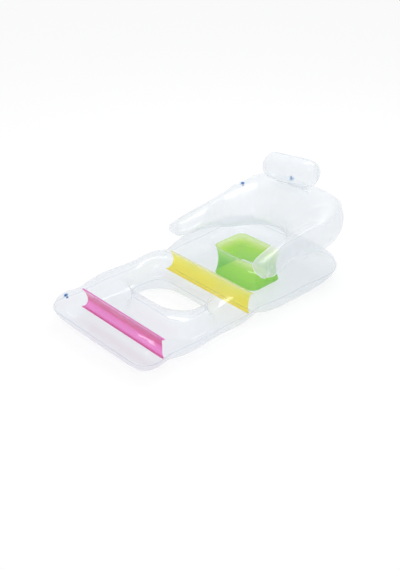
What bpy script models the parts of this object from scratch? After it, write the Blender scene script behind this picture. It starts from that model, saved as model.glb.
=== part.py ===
"""Inflatable pool lounge chair: a clear mattress with a leg opening and three coloured inner baffles,
a collar-shaped backrest with arms, a headrest pillow and three push-in valves.

Metres, +Z up. The foot end is at -Y and the head end at +Y. Every chamber is two sheets of film welded
along a flat flange, and the air's pressure gives each sheet its bulge.
"""

import math

import bmesh
import bpy
import numpy as np
from mathutils import Matrix, Vector
from mathutils.bvhtree import BVHTree

# Film and welds
FILM = 0.0003
WELD_GAP = 0.0003
FLANGE = 0.006
BAFFLE_FLANGE = 0.010

# Mattress, measured along Y from its front seam
SEAM_HEIGHT = 0.080
SEAT_TOP = 0.195
BASE_HALF_WIDTH = 0.355
FOOT_LENGTH = 0.167
LEG_LENGTH = 0.567
SEAT_LENGTH = 0.636
FRONT_CORNER_RADIUS = 0.075
BACK_CORNER_RADIUS = 0.150
BACK_SPREAD = 0.026
TAIL_LENGTH = 0.300
WAIST_DEPTH = 0.008
WAIST_REACH = 0.050

# Straight baffles
BAFFLE_HALF_WIDTH = 0.310
BAFFLE_HEIGHT = 0.097
BAFFLE_BITE = 0.030
BAFFLE_LEAN = 0.020
BAFFLE_BOW = 0.012

# Leg opening, behind the foot baffle
OPENING_SETBACK = 0.180
OPENING_HALF_WIDTH = 0.200
OPENING_LENGTH = 0.230
OPENING_RADIUS = 0.080

# Seat baffle, a closed loop behind the knee baffle
LOOP_SETBACK = 0.163
LOOP_HALF_WIDTH = 0.150
LOOP_LENGTH = 0.220
LOOP_RADIUS = 0.045
LOOP_HEIGHT = 0.160
LOOP_FLARE = 0.014

# Backrest collar: its tube's core, from an arm's tip to the middle of the back
COLLAR_HALF_SPAN = 0.345
COLLAR_REACH = 0.611
COLLAR_OVERHANG = 0.019
COLLAR_LIFT = 0.027
COLLAR_HALF_HEIGHT = 0.124
COLLAR_HALF_DEPTH = 0.131

# Headrest pillow, above the backrest's middle, and the neck of film that joins the two
PILLOW_ADVANCE = 0.169
PILLOW_RISE = 0.144
PILLOW_HALF_LENGTH = 0.176
PILLOW_HALF_HEIGHT = 0.072
PILLOW_HALF_DEPTH = 0.066
PILLOW_CORNER_RADIUS = 0.066
PILLOW_NECK_HALF_WIDTH = 0.095
PILLOW_WELD_ADVANCE = 0.131

# Push-in valves
VALVE_HOLE_RADIUS = 0.0062
VALVE_FLANGE_RADIUS = 0.014
VALVE_FLANGE_THICKNESS = 0.0010
VALVE_COLLAR_RADIUS = 0.0072
VALVE_COLLAR_LENGTH = 0.0050
STEM_RADIUS = 0.0050
STEM_BORE_RADIUS = 0.0034
STEM_LENGTH = 0.0180
STEM_RIM_RISE = 0.0004
STEM_RIM_THICKNESS = 0.0010
STEM_STOP_RADIUS = 0.0066
STEM_STOP_THICKNESS = 0.0012
STEM_CLEARANCE = 0.0004
CAP_RADIUS = 0.0078
CAP_THICKNESS = 0.0014
PLUG_TOP_RADIUS = 0.0031
PLUG_END_RADIUS = 0.0020
PLUG_LENGTH = 0.0040
CAP_HINGE_REACH = 0.0110
STRAP_WIDTH = 0.0040
FLAP_RADIUS = 0.0046
FLAP_THICKNESS = 0.0005

# Facets of turned pieces, and how near two points of a profile's ends are joined
TURNED_STEPS = 20
MERGE_DISTANCE = 0.00005

# Grid lines, as shares of the stretch that they divide
FOOT_ROW_SHARES = (0.0, 0.07, 0.25, 0.50, 0.78, 1.0)
RING_ROW_SHARES = (0.22, 0.52, 0.84, 1.0)
LOOP_ROW_SHARES = (0.30, 0.62, 1.0)
BACK_ROW_SHARES = (0.22, 0.48, 0.74, 0.93, 1.0)
NECK_BEND_SHARE = 0.35
SIDE_COLUMN_SHARES = (0.09, 0.27, 0.50)
PAST_TIP_SHARE = 0.60
INNER_COLUMN_SHARES = (0.0, 0.5, 0.85)
PLUMP_SHARES = {"foot": 0.92, "leg": 1.0, "seat": 1.0, "loop": 0.15, "tail": 0.10}
PILLOW_SLANT_SHARE = 0.116

# Where each valve sits: across and along the foot's tube, across and along the collar, and across, behind
# and above the pillow's middle, as shares of half their width, of their length and of the pillow's half sizes
FOOT_VALVE_SHARES = (-0.803, 0.371)
BACKREST_VALVE_SHARES = (-0.812, 0.774)
HEADREST_VALVE_SHARES = (-0.057, 0.333, -0.875)

FOOT_Y = FOOT_LENGTH
KNEE_Y = FOOT_Y + LEG_LENGTH
BACK_Y = KNEE_Y + SEAT_LENGTH
OPENING_FRONT = FOOT_Y + OPENING_SETBACK
OPENING_BACK = OPENING_FRONT + OPENING_LENGTH
LOOP_FRONT = KNEE_Y + LOOP_SETBACK
LOOP_BACK = LOOP_FRONT + LOOP_LENGTH
COLLAR_TIP_Y = BACK_Y + COLLAR_OVERHANG - COLLAR_REACH

CLEAR = (0.93, 0.95, 0.97)
MAGENTA = (0.64, 0.02, 0.33)
YELLOW = (0.91, 0.68, 0.03)
GREEN = (0.24, 0.56, 0.05)
BLUE = (0.03, 0.16, 0.45)
PALE_BLUE = (0.45, 0.66, 0.85)


def clear_scene():
    """Removes what the file holds, so that the model is alone in it."""
    for item in list(bpy.data.objects):
        bpy.data.objects.remove(item, do_unlink=True)


def collection(name):
    """A new collection under the scene's own."""
    made = bpy.data.collections.new(name)
    bpy.context.scene.collection.children.link(made)
    return made


def plastic(name, colour, alpha, roughness):
    """A vinyl: its colour, how much of it hides what is behind, and its gloss."""
    made = bpy.data.materials.new(name)
    made.use_nodes = True
    shader = made.node_tree.nodes["Principled BSDF"]
    shader.inputs["Base Color"].default_value = (*colour, 1.0)
    shader.inputs["Alpha"].default_value = alpha
    shader.inputs["Roughness"].default_value = roughness
    shader.inputs["Metallic"].default_value = 0.0
    made.diffuse_color = (*colour, alpha)
    return made


def carrier(name, location, parent=None):
    """An empty that carries the pieces of one moving body, at its joint's axis."""
    made = bpy.data.objects.new(name, None)
    PARTS.objects.link(made)
    made.location = location
    if parent:
        made.parent = parent
        made.location = Vector(location) - WORLD_PLACES[parent.name]
    WORLD_PLACES[name] = Vector(location)
    return made


def piece(name, bm, material, parent, matrix=None):
    """A named object from a bmesh that is in the model's frame, or in the frame that matrix gives."""
    mesh = bpy.data.meshes.new(name)
    bm.to_mesh(mesh)
    bm.free()
    mesh.materials.append(material)
    mesh.shade_smooth()
    mesh.set_sharp_from_angle(angle=math.radians(50))
    made = bpy.data.objects.new(name, mesh)
    PARTS.objects.link(made)
    made.parent = parent
    home = Matrix.Translation(WORLD_PLACES[parent.name])
    made.matrix_local = home.inverted() @ (matrix if matrix else Matrix.Identity(4))
    return made


def give_thickness(item, thickness):
    """Thickens an open sheet inwards, so that its vertices stay on the outer face."""
    wall = item.modifiers.new("wall", "SOLIDIFY")
    wall.thickness = thickness
    wall.offset = -1.0


def cut(item, cutter):
    """Cuts one object out of another."""
    tool = item.modifiers.new("cut", "BOOLEAN")
    tool.operation = "DIFFERENCE"
    tool.solver = "EXACT"
    tool.object = cutter


def numbered_grid(columns, rows):
    """A flat grid whose vertices carry their column and row number."""
    bm = bmesh.new()
    bmesh.ops.create_grid(bm, x_segments=columns, y_segments=rows, size=1.0)
    numbers = {}
    for vertex in bm.verts:
        column = round((vertex.co.x + 1.0) / 2.0 * columns)
        row = round((vertex.co.y + 1.0) / 2.0 * rows)
        numbers[vertex] = (column, row)
    return bm, numbers


def bulge(bm, held, pressure):
    """How far air lifts each vertex of a flat film above its seam's plane.

    The film's rise h obeys a membrane's equation in h * h / 2, which gives round tubes between
    straight seams. held maps the welded vertices to their fixed rise, and pressure gives each
    face's share of the full air pressure.
    """
    order = {vertex: number for number, vertex in enumerate(bm.verts)}
    stiffness = np.zeros((len(order), len(order)))
    load = np.zeros(len(order))
    for corners in bm.calc_loop_triangles():
        spots = [order[loop.vert] for loop in corners]
        place = np.array([loop.vert.co.xy[:] for loop in corners])
        edge = place[[2, 0, 1]] - place[[1, 2, 0]]
        area = abs(edge[0][0] * edge[1][1] - edge[0][1] * edge[1][0]) / 2.0
        stiffness[np.ix_(spots, spots)] += edge @ edge.T / (4.0 * area)
        load[spots] += area * pressure(corners[0].face) / 3.0
    known = np.array([order[vertex] for vertex in held])
    free = np.setdiff1d(np.arange(len(order)), known)
    energy = np.zeros(len(order))
    energy[known] = [rise * rise / 2.0 for rise in held.values()]
    load -= stiffness[:, known] @ energy[known]
    energy[free] = np.linalg.solve(stiffness[np.ix_(free, free)], load[free])
    return {vertex: math.sqrt(2.0 * max(energy[number], 0.0)) for vertex, number in order.items()}


def corner_inset(distance, radius):
    """How far a rounded corner draws a side in, at a distance from the end."""
    short = max(radius - max(distance, 0.0), 0.0)
    return radius - math.sqrt(radius * radius - short * short)


def seam_half_width(y, spread=0.0):
    """Half the mattress's width at y, with its round corners and its waist at each baffle."""
    front = corner_inset(y + spread, FRONT_CORNER_RADIUS + spread)
    back = corner_inset(BACK_Y + spread - y, BACK_CORNER_RADIUS + spread)
    waist = sum(
        WAIST_DEPTH * math.exp(-(((y - line) / WAIST_REACH) ** 2)) for line in (FOOT_Y, KNEE_Y)
    )
    wider = BACK_SPREAD * min(max((y - KNEE_Y) / SEAT_LENGTH, 0.0), 1.0)
    return BASE_HALF_WIDTH + wider + spread - max(front, back) - waist


def opening_half_width(y, inset=0.0):
    """Half the leg opening's width at y, or of the outline that lies inset inside it."""
    end = min(y - OPENING_FRONT, OPENING_BACK - y) - inset
    return OPENING_HALF_WIDTH - inset - corner_inset(end, OPENING_RADIUS - inset)


def loop_half_width(y):
    """Half the seat baffle's width at y."""
    end = min(y - LOOP_FRONT, LOOP_BACK - y)
    return LOOP_HALF_WIDTH - corner_inset(end, LOOP_RADIUS)


def inner_line(y):
    """The grid line that follows the side of the leg opening, and further back that of the seat baffle."""
    if OPENING_FRONT <= y <= OPENING_BACK:
        return opening_half_width(y)
    if LOOP_FRONT <= y <= LOOP_BACK:
        return loop_half_width(y)
    stops = (-FLANGE, FOOT_Y, OPENING_FRONT, OPENING_BACK, KNEE_Y, LOOP_FRONT, LOOP_BACK, BACK_Y + FLANGE)
    narrow = OPENING_HALF_WIDTH - OPENING_RADIUS
    tight = LOOP_HALF_WIDTH - LOOP_RADIUS
    widths = (OPENING_HALF_WIDTH, OPENING_HALF_WIDTH, narrow, narrow, OPENING_HALF_WIDTH, tight, tight, LOOP_HALF_WIDTH)
    return float(np.interp(y, stops, widths))


def base_rows():
    """The Y of each grid row, from the front flange to the back flange."""
    rows = [-FLANGE]
    rows += [share * FOOT_LENGTH for share in FOOT_ROW_SHARES]
    rows += [FOOT_Y + share * OPENING_SETBACK for share in RING_ROW_SHARES]
    ends = (FLANGE, OPENING_RADIUS / 3.0, OPENING_RADIUS)
    rows += [OPENING_FRONT + end for end in ends]
    rows += [OPENING_BACK - end for end in reversed(ends)] + [OPENING_BACK]
    gap = KNEE_Y - OPENING_BACK
    rows += [KNEE_Y - share * gap for share in reversed(RING_ROW_SHARES[:-1])] + [KNEE_Y]
    rows += [KNEE_Y + share * LOOP_SETBACK for share in LOOP_ROW_SHARES]
    ends = (LOOP_RADIUS / 3.0, LOOP_RADIUS)
    rows += [LOOP_FRONT + end for end in ends]
    rows += [LOOP_BACK - end for end in reversed(ends)] + [LOOP_BACK]
    rows += [LOOP_BACK + share * (BACK_Y - LOOP_BACK) for share in BACK_ROW_SHARES]
    return rows + [BACK_Y + FLANGE]


def base_columns(y):
    """The X of each grid column from the middle to the flange, in the row at y."""
    inner = inner_line(y)
    seam = seam_half_width(min(max(y, 0.0), BACK_Y))
    tip_share = (BAFFLE_HALF_WIDTH - OPENING_HALF_WIDTH) / (seam_half_width(KNEE_Y) - OPENING_HALF_WIDTH)
    past_tip = tip_share + PAST_TIP_SHARE * (1.0 - tip_share)
    middle = [share * inner for share in INNER_COLUMN_SHARES]
    if OPENING_FRONT + FLANGE <= y <= OPENING_BACK - FLANGE:
        middle[-1] = opening_half_width(y, FLANGE)
    sides = (0.0, *SIDE_COLUMN_SHARES, tip_share, past_tip, 1.0)
    return middle + [inner + share * (seam - inner) for share in sides] + [seam_half_width(y, FLANGE)]


def base_plan():
    """The mattress's flat grid, its opening cut out, and which of its vertices each weld holds."""
    rows = base_rows()
    half = len(base_columns(0.0)) - 1
    bm, numbers = numbered_grid(2 * half, len(rows) - 1)
    seam_column = half - 1
    line_column = len(INNER_COLUMN_SHARES)
    held = {}
    for vertex, (column, row) in numbers.items():
        y = rows[row]
        across = column - half
        x = base_columns(y)[abs(across)]
        vertex.co = (math.copysign(x, across), y, 0.0)
    bmesh.ops.remove_doubles(bm, verts=bm.verts[:], dist=FILM / 10.0)
    for vertex in bm.verts:
        column, row = numbers[vertex]
        y = rows[row]
        across = column - half
        x = abs(vertex.co.x)
        inside = abs(across) <= line_column
        if abs(across) >= seam_column or row <= 1 or row >= len(rows) - 2:
            held[vertex] = 0.0
        elif inside and OPENING_FRONT <= y <= OPENING_BACK:
            held[vertex] = 0.0
        elif y in (FOOT_Y, KNEE_Y) and x <= BAFFLE_HALF_WIDTH + WELD_GAP:
            held[vertex] = BAFFLE_HEIGHT / 2.0
        elif inside and (y in (LOOP_FRONT, LOOP_BACK) or (abs(across) == line_column and LOOP_FRONT < y < LOOP_BACK)):
            held[vertex] = LOOP_HEIGHT - SEAM_HEIGHT
    hole = [
        face
        for face in bm.faces
        if OPENING_FRONT + FLANGE < face.calc_center_median().y < OPENING_BACK - FLANGE
        and all(abs(numbers[vertex][0] - half) < line_column for vertex in face.verts)
    ]
    bmesh.ops.delete(bm, geom=hole, context="FACES")
    return bm, {vertex: rise for vertex, rise in held.items() if vertex.is_valid}


def base_pressure(face):
    """The share of the full pressure that lifts a face of the mattress."""
    middle = face.calc_center_median()
    if LOOP_FRONT < middle.y < LOOP_BACK and abs(middle.x) < loop_half_width(middle.y):
        return PLUMP_SHARES["loop"]
    if middle.y < FOOT_Y:
        return PLUMP_SHARES["foot"]
    if middle.y < KNEE_Y:
        return PLUMP_SHARES["leg"]
    tail = min(max((middle.y - BACK_Y) / TAIL_LENGTH + 1.0, 0.0), 1.0)
    return PLUMP_SHARES["seat"] + tail * (PLUMP_SHARES["tail"] - PLUMP_SHARES["seat"])


def base_sheet(name, side, material):
    """One sheet of the mattress: side is 1 for the top and -1 for the bottom, which the ground flattens."""
    bm, held = base_plan()
    rise = bulge(bm, held, base_pressure)
    for vertex in bm.verts:
        height = SEAM_HEIGHT + side * (rise[vertex] + FILM + WELD_GAP / 2.0)
        if vertex in held and held[vertex] > 0.0:
            height = SEAM_HEIGHT + side * held[vertex]
        vertex.co.z = min(max(height, 0.0), SEAT_TOP)
    if side < 0:
        bmesh.ops.reverse_faces(bm, faces=bm.faces[:])
    tree = BVHTree.FromBMesh(bm)
    made = piece(name, bm, material, ROOT)
    give_thickness(made, FILM)
    return made, tree


def strip_profile(low, high, lean, bow):
    """A straight baffle's section, bottom flange to top flange, as (y, z) offsets from its weld line."""
    steps = 6
    inset = FILM + WELD_GAP
    points = [(-lean - BAFFLE_FLANGE, low + inset)]
    for step in range(steps + 1):
        share = step / steps
        rise = low + inset + share * (high - low - 2.0 * inset)
        points.append((-lean * (1.0 - share) + bow * math.sin(math.pi * share), rise))
    return points + [(BAFFLE_FLANGE, high - inset)]


def straight_baffle(name, line, lean, material):
    """A coloured strip across the mattress, flanged top and bottom, with a concave bite at each end."""
    low = SEAM_HEIGHT - BAFFLE_HEIGHT / 2.0
    high = SEAM_HEIGHT + BAFFLE_HEIGHT / 2.0
    section = strip_profile(low, high, lean, BAFFLE_BOW)
    columns = 12
    bm, numbers = numbered_grid(columns, len(section) - 1)
    for vertex, (column, row) in numbers.items():
        offset, height = section[row]
        level = (height - low) / (high - low)
        bite = BAFFLE_BITE * math.sqrt(max(1.0 - (2.0 * level - 1.0) ** 2, 0.0))
        reach = BAFFLE_HALF_WIDTH - BAFFLE_FLANGE / 2.0 - bite
        vertex.co = ((2.0 * column / columns - 1.0) * reach, line + offset, height)
    made = piece(name, bm, material, ROOT)
    give_thickness(made, FILM)
    return made


def rounded_outline(half_width, front, back, radius, per_corner):
    """Points and outward normals round a rectangle with round corners, anticlockwise from above."""
    spots = []
    centres = (
        (half_width - radius, back - radius, 0.0),
        (-half_width + radius, back - radius, 90.0),
        (-half_width + radius, front + radius, 180.0),
        (half_width - radius, front + radius, 270.0),
    )
    for x, y, start in centres:
        for step in range(per_corner + 1):
            turn = math.radians(start + 90.0 * step / per_corner)
            normal = Vector((math.cos(turn), math.sin(turn), 0.0))
            spots.append((Vector((x, y, 0.0)) + radius * normal, normal))
    return spots


def loop_baffle(name, material):
    """The seat's closed baffle: an upright band whose rims flare out to their welds."""
    spots = rounded_outline(LOOP_HALF_WIDTH, LOOP_FRONT, LOOP_BACK, LOOP_RADIUS, 4)
    low = 2.0 * (FILM + WELD_GAP)
    high = LOOP_HEIGHT - FILM - WELD_GAP
    steps = 6
    bm, numbers = numbered_grid(len(spots), steps)
    for vertex, (column, row) in numbers.items():
        place, normal = spots[column % len(spots)]
        share = row / steps
        flare = LOOP_FLARE * (2.0 * share - 1.0) ** 2
        vertex.co = place + (flare - LOOP_FLARE) * normal
        vertex.co.z = low + share * (high - low)
    bmesh.ops.remove_doubles(bm, verts=bm.verts[:], dist=FILM / 10.0)
    bmesh.ops.recalc_face_normals(bm, faces=bm.faces[:])
    made = piece(name, bm, material, ROOT)
    give_thickness(made, FILM)
    return made


# The collar's stations from the back's middle to an arm's tip, each as shares of the collar's own sizes:
# its crest seam's across, along and height, its inner seam's across, along and lift, front and rear half depth
COLLAR_STATION_SHARES = (
    (0.000, 1.151, 1.341, 0.000, 0.761, 0.148, 0.897, 1.323),
    (0.419, 1.147, 1.336, 0.180, 0.736, 0.148, 0.808, 1.397),
    (0.813, 1.009, 1.394, 0.336, 0.658, 0.148, 0.602, 1.120),
    (0.923, 0.769, 1.202, 0.464, 0.543, 0.148, 0.424, 0.870),
    (0.876, 0.609, 1.144, 0.568, 0.429, 0.340, 0.249, 0.640),
    (0.852, 0.444, 1.045, 0.664, 0.347, 0.522, 0.229, 0.503),
    (0.852, 0.253, 0.933, 0.758, 0.247, 0.415, 0.439, 0.439),
    (0.898, 0.095, 0.729, 0.812, 0.083, 0.041, 0.501, 0.460),
    (0.933, 0.048, 0.608, 0.869, 0.014, 0.349, 0.400, 0.300),
    (1.008, 0.009, 0.385, 0.990, -0.009, 1.013, 0.000, 0.000),
)


def smooth_rows(table, per_span):
    """Rows read from a smooth curve through the rows of a table, whose first row lies on the chair's middle."""
    rows = np.array(table, float)
    padded = np.vstack([2.0 * rows[0] - rows[1], rows, 2.0 * rows[-1] - rows[-2]])
    even = [1, 2, 4, 5, 6, 7]
    padded[0, even] = rows[1, even]
    result = []
    for number in range(len(rows) - 1):
        a, b, c, d = padded[number : number + 4]
        for step in range(per_span):
            t = step / per_span
            result.append(
                0.5 * (2.0 * b + (c - a) * t + (2.0 * a - 5.0 * b + 4.0 * c - d) * t * t + (3.0 * b - a - 3.0 * c + d) * t**3)
            )
    return [[float(value) for value in row] for row in result + [rows[-1]]]


def collar_stations(seat):
    """Each station's core point, half height, front and rear half depth and axes, from tip to tip.

    seat is the height that the collar lies at.
    """
    half = smooth_rows(COLLAR_STATION_SHARES, 2)
    stations = []
    for side in (-1.0, 1.0):
        for row in reversed(half) if side < 0 else half[1:]:
            seams = []
            for across, along, height, rise in ((*row[0:3], COLLAR_HALF_HEIGHT), (*row[3:6], COLLAR_LIFT)):
                x = side * across * COLLAR_HALF_SPAN
                seams.append(Vector((x, COLLAR_TIP_Y + along * COLLAR_REACH, seat + height * rise)))
            stations.append((*seams, (row[6] * COLLAR_HALF_DEPTH, row[7] * COLLAR_HALF_DEPTH)))
    placed = []
    for number, (crest, inner, depths) in enumerate(stations):
        before = stations[max(number - 1, 0)]
        after = stations[min(number + 1, len(stations) - 1)]
        along = after[0] + after[1] - before[0] - before[1]
        along.z = 0.0
        along.normalize()
        upward = (crest - inner).normalized()
        facing = along.cross(upward).normalized()
        placed.append(((crest + inner) / 2.0, (crest - inner).length / 2.0, depths, upward, facing, along))
    return placed


def collar_film(side, seat):
    """The collar's front film (side 1) or rear film (side -1), lying at a height, and the way it faces."""
    stations = collar_stations(seat)
    across = 8
    rows = len(stations) + 1
    bm, numbers = numbered_grid(across + 2, rows)
    lift = FILM + WELD_GAP / 2.0
    floor = seat + WELD_GAP + (lift + FILM if side > 0 else 0.0)
    for vertex, (column, row) in numbers.items():
        station = stations[min(max(row - 1, 0), len(stations) - 1)]
        core, height, depths, upward, facing, along = station
        depth = depths[0] if side > 0 else depths[1]
        turn = math.pi * min(max(column - 1, 0), across) / across
        reach = -height * math.cos(turn)
        if column == 0:
            reach -= FLANGE
        if column == across + 2:
            reach += FLANGE
        place = core + reach * upward + side * (depth * math.sin(turn) + lift) * facing
        if row == 0:
            place -= FLANGE * along
        if row == rows:
            place += FLANGE * along
        place.z = max(place.z, floor)
        vertex.co = place
    return bm, stations[len(stations) // 2][4]


def resting_height(mattress, spots):
    """The height at which the collar's rear film just clears the mattress, from its tree and its points."""
    down = Vector((0.0, 0.0, -1.0))
    bm = collar_film(-1, SEAT_TOP)[0]
    tree = BVHTree.FromBMesh(bm)
    room = []
    for vertex in bm.verts:
        below = mattress.ray_cast(vertex.co, down)[0]
        if below:
            room.append(vertex.co.z - below.z)
    for spot in spots:
        above = tree.ray_cast(spot, -down)[0]
        if above:
            room.append(above.z - spot.z)
    bm.free()
    return SEAT_TOP - min(room) + WELD_GAP


def collar_crest(seat):
    """The top of the collar's seam in the middle of the back."""
    stations = collar_stations(seat)
    core, height, depths, upward, facing, along = stations[len(stations) // 2]
    return core + (height + FLANGE) * upward


def sheet_from(name, bm, side, facing, material, parent):
    """Turns a bmesh's faces outwards and makes it a sheet of film; side is 1 where outwards is along facing."""
    bmesh.ops.triangulate(bm, faces=bm.faces[:], quad_method="SHORT_EDGE")
    bmesh.ops.recalc_face_normals(bm, faces=bm.faces[:])
    balance = sum(face.normal.dot(facing) * face.calc_area() for face in bm.faces)
    if side * balance < 0.0:
        bmesh.ops.reverse_faces(bm, faces=bm.faces[:])
    tree = BVHTree.FromBMesh(bm)
    made = piece(name, bm, material, parent)
    give_thickness(made, FILM)
    return made, tree


def film_above(tree, x, y):
    """The highest point of a sheet's outer face over (x, y)."""
    high = Vector((x, y, SEAT_TOP + BASE_HALF_WIDTH))
    return tree.ray_cast(high, Vector((0.0, 0.0, -1.0)))[0]


def neck_points(tree, crest, x):
    """The pillow's neck at one x, from its weld on the backrest up to the pillow's lower seam, as (y, z)."""
    lift = FILM + WELD_GAP / 2.0
    weld_y = crest.y - PILLOW_WELD_ADVANCE
    weld = Vector((weld_y, film_above(tree, x, weld_y).z + WELD_GAP + lift))
    lower_seam = PILLOW_SLANT_SHARE * x - PILLOW_HALF_HEIGHT - FLANGE
    top = Vector((crest.y - PILLOW_ADVANCE, crest.z + PILLOW_RISE + lower_seam))
    bend = Vector((top.x, weld.y + NECK_BEND_SHARE * (top.y - weld.y)))
    steps = 3
    points = []
    for step in range(steps):
        share = step / steps
        points.append((1.0 - share) ** 2 * weld + 2.0 * share * (1.0 - share) * bend + share * share * top)
    return points + [top]


def pillow_sheet(name, side, tree, crest, material, parent):
    """One sheet of the headrest pillow with its neck: side is 1 for the front and -1 for the rear."""
    middle = crest + Vector((0.0, -PILLOW_ADVANCE, PILLOW_RISE))
    body_columns = 12
    body_rows = 8
    neck_rows = 3
    bm, numbers = numbered_grid(body_columns + 2, neck_rows + 1 + body_rows + 1)
    lift = FILM + WELD_GAP / 2.0
    front = Vector((0.0, -1.0, 0.0))
    for vertex, (column, row) in numbers.items():
        u = 2.0 * min(max(column - 1, 0), body_columns) / body_columns - 1.0
        v = 2.0 * min(max(row - neck_rows - 1, 0), body_rows) / body_rows - 1.0
        inset = corner_inset(PILLOW_HALF_HEIGHT * (1.0 - abs(v)), PILLOW_CORNER_RADIUS)
        x = u * (PILLOW_HALF_LENGTH - inset)
        if column == 0:
            x -= FLANGE
        if column == body_columns + 2:
            x += FLANGE
        if row <= neck_rows:
            points = neck_points(tree, crest, x if abs(x) <= PILLOW_NECK_HALF_WIDTH else 0.0)
            spot = points[row]
            ahead = points[min(row + 1, neck_rows)] - points[max(row - 1, 0)]
            ahead = Vector((0.0, 1.0)) if row == neck_rows else ahead.normalized()
            normal = Vector((0.0, -ahead.y, ahead.x))
            vertex.co = Vector((x, spot.x, spot.y)) + side * lift * normal
            continue
        height = v * PILLOW_HALF_HEIGHT + PILLOW_SLANT_SHARE * x
        if row == neck_rows + 1 + body_rows + 1:
            height += FLANGE
        depth = PILLOW_HALF_DEPTH * math.sqrt(max((1.0 - u**6) * (1.0 - v * v), 0.0))
        vertex.co = middle + Vector((x, 0.0, height)) + side * (depth + lift) * front
    outside = [
        face
        for face in bm.faces
        if all(numbers[vertex][1] <= neck_rows for vertex in face.verts)
        and abs(face.calc_center_median().x) > PILLOW_NECK_HALF_WIDTH
    ]
    bmesh.ops.delete(bm, geom=outside, context="FACES")
    return sheet_from(name, bm, side, front, material, parent)


def helper(name, bm, parent, matrix):
    """A hidden body in the cutters' collection, in a frame of the model."""
    mesh = bpy.data.meshes.new(name)
    bm.to_mesh(mesh)
    bm.free()
    made = bpy.data.objects.new(name, mesh)
    CUTTERS.objects.link(made)
    made.parent = parent
    made.matrix_local = Matrix.Translation(-WORLD_PLACES[parent.name]) @ matrix
    made.hide_render = True
    made.display_type = "WIRE"
    return made


def turned(name, profile, ring, material, parent, frame):
    """A turned body from its (radius, height) profile, run from the outer top down; a ring's profile is closed."""
    bm = bmesh.new()
    spots = [bm.verts.new((radius, 0.0, height)) for radius, height in profile]
    for first, second in zip(spots, spots[1:]):
        bm.edges.new((first, second))
    if ring:
        bm.edges.new((spots[-1], spots[0]))
    made = piece(name, bm, material, parent, frame)
    screw = made.modifiers.new("turn", "SCREW")
    screw.axis = "Z"
    screw.angle = math.tau
    screw.steps = TURNED_STEPS
    screw.render_steps = TURNED_STEPS
    screw.use_merge_vertices = True
    screw.merge_threshold = MERGE_DISTANCE
    return made


def add_tab(item, reach, low, high, parent, frame):
    """Joins a straight tab to a turned disc, out along the frame's X to a reach."""
    inner = CAP_RADIUS - STRAP_WIDTH / 2.0
    bm = bmesh.new()
    bmesh.ops.create_cube(bm, size=1.0)
    bmesh.ops.scale(bm, vec=(reach - inner, STRAP_WIDTH, high - low), verts=bm.verts[:])
    bmesh.ops.translate(bm, vec=((reach + inner) / 2.0, 0.0, (high + low) / 2.0), verts=bm.verts[:])
    tab = helper(item.name + "_tab", bm, parent, frame)
    join = item.modifiers.new("tab", "BOOLEAN")
    join.operation = "UNION"
    join.solver = "EXACT"
    join.object = tab


def film_heights(tree, frame, radii):
    """The film's heights over a frame's plane, on rings of the given radii."""
    normal = frame.col[2].xyz
    heights = []
    for radius in radii:
        for step in range(TURNED_STEPS):
            turn = math.tau * step / TURNED_STEPS
            spot = frame @ Vector((radius * math.cos(turn), radius * math.sin(turn), 0.0))
            hit = tree.ray_cast(spot + VALVE_FLANGE_RADIUS * normal, -normal)[0]
            heights.append((hit - spot).dot(normal))
    return heights


def frame_at(spot, normal):
    """A frame with Z along a normal and X to the chair's right."""
    across = Vector((1.0, 0.0, 0.0))
    across = (across - across.dot(normal) * normal).normalized()
    turned_axes = Matrix((across, normal.cross(across), normal)).transposed().to_4x4()
    return Matrix.Translation(spot) @ turned_axes


def valve_frame(tree, near):
    """A frame near a point of a sheet, square to the film round it and level with the film's crest there."""
    spot, normal = tree.find_nearest(near)[:2]
    frame = frame_at(spot, normal)
    heights = film_heights(tree, frame, (VALVE_FLANGE_RADIUS,))
    rim = []
    for step, height in enumerate(heights):
        turn = math.tau * step / TURNED_STEPS
        rim.append(
            frame @ Vector((VALVE_FLANGE_RADIUS * math.cos(turn), VALVE_FLANGE_RADIUS * math.sin(turn), height))
        )
    middle = sum(rim, Vector()) / len(rim)
    level = Vector()
    for first, second in zip(rim, rim[1:] + rim[:1]):
        level += (first - middle).cross(second - middle)
    frame = frame_at(spot, level.normalized())
    crest = max(film_heights(tree, frame, (VALVE_HOLE_RADIUS, CAP_RADIUS, CAP_HINGE_REACH)))
    return Matrix.Translation(crest * frame.col[2].xyz) @ frame


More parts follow.
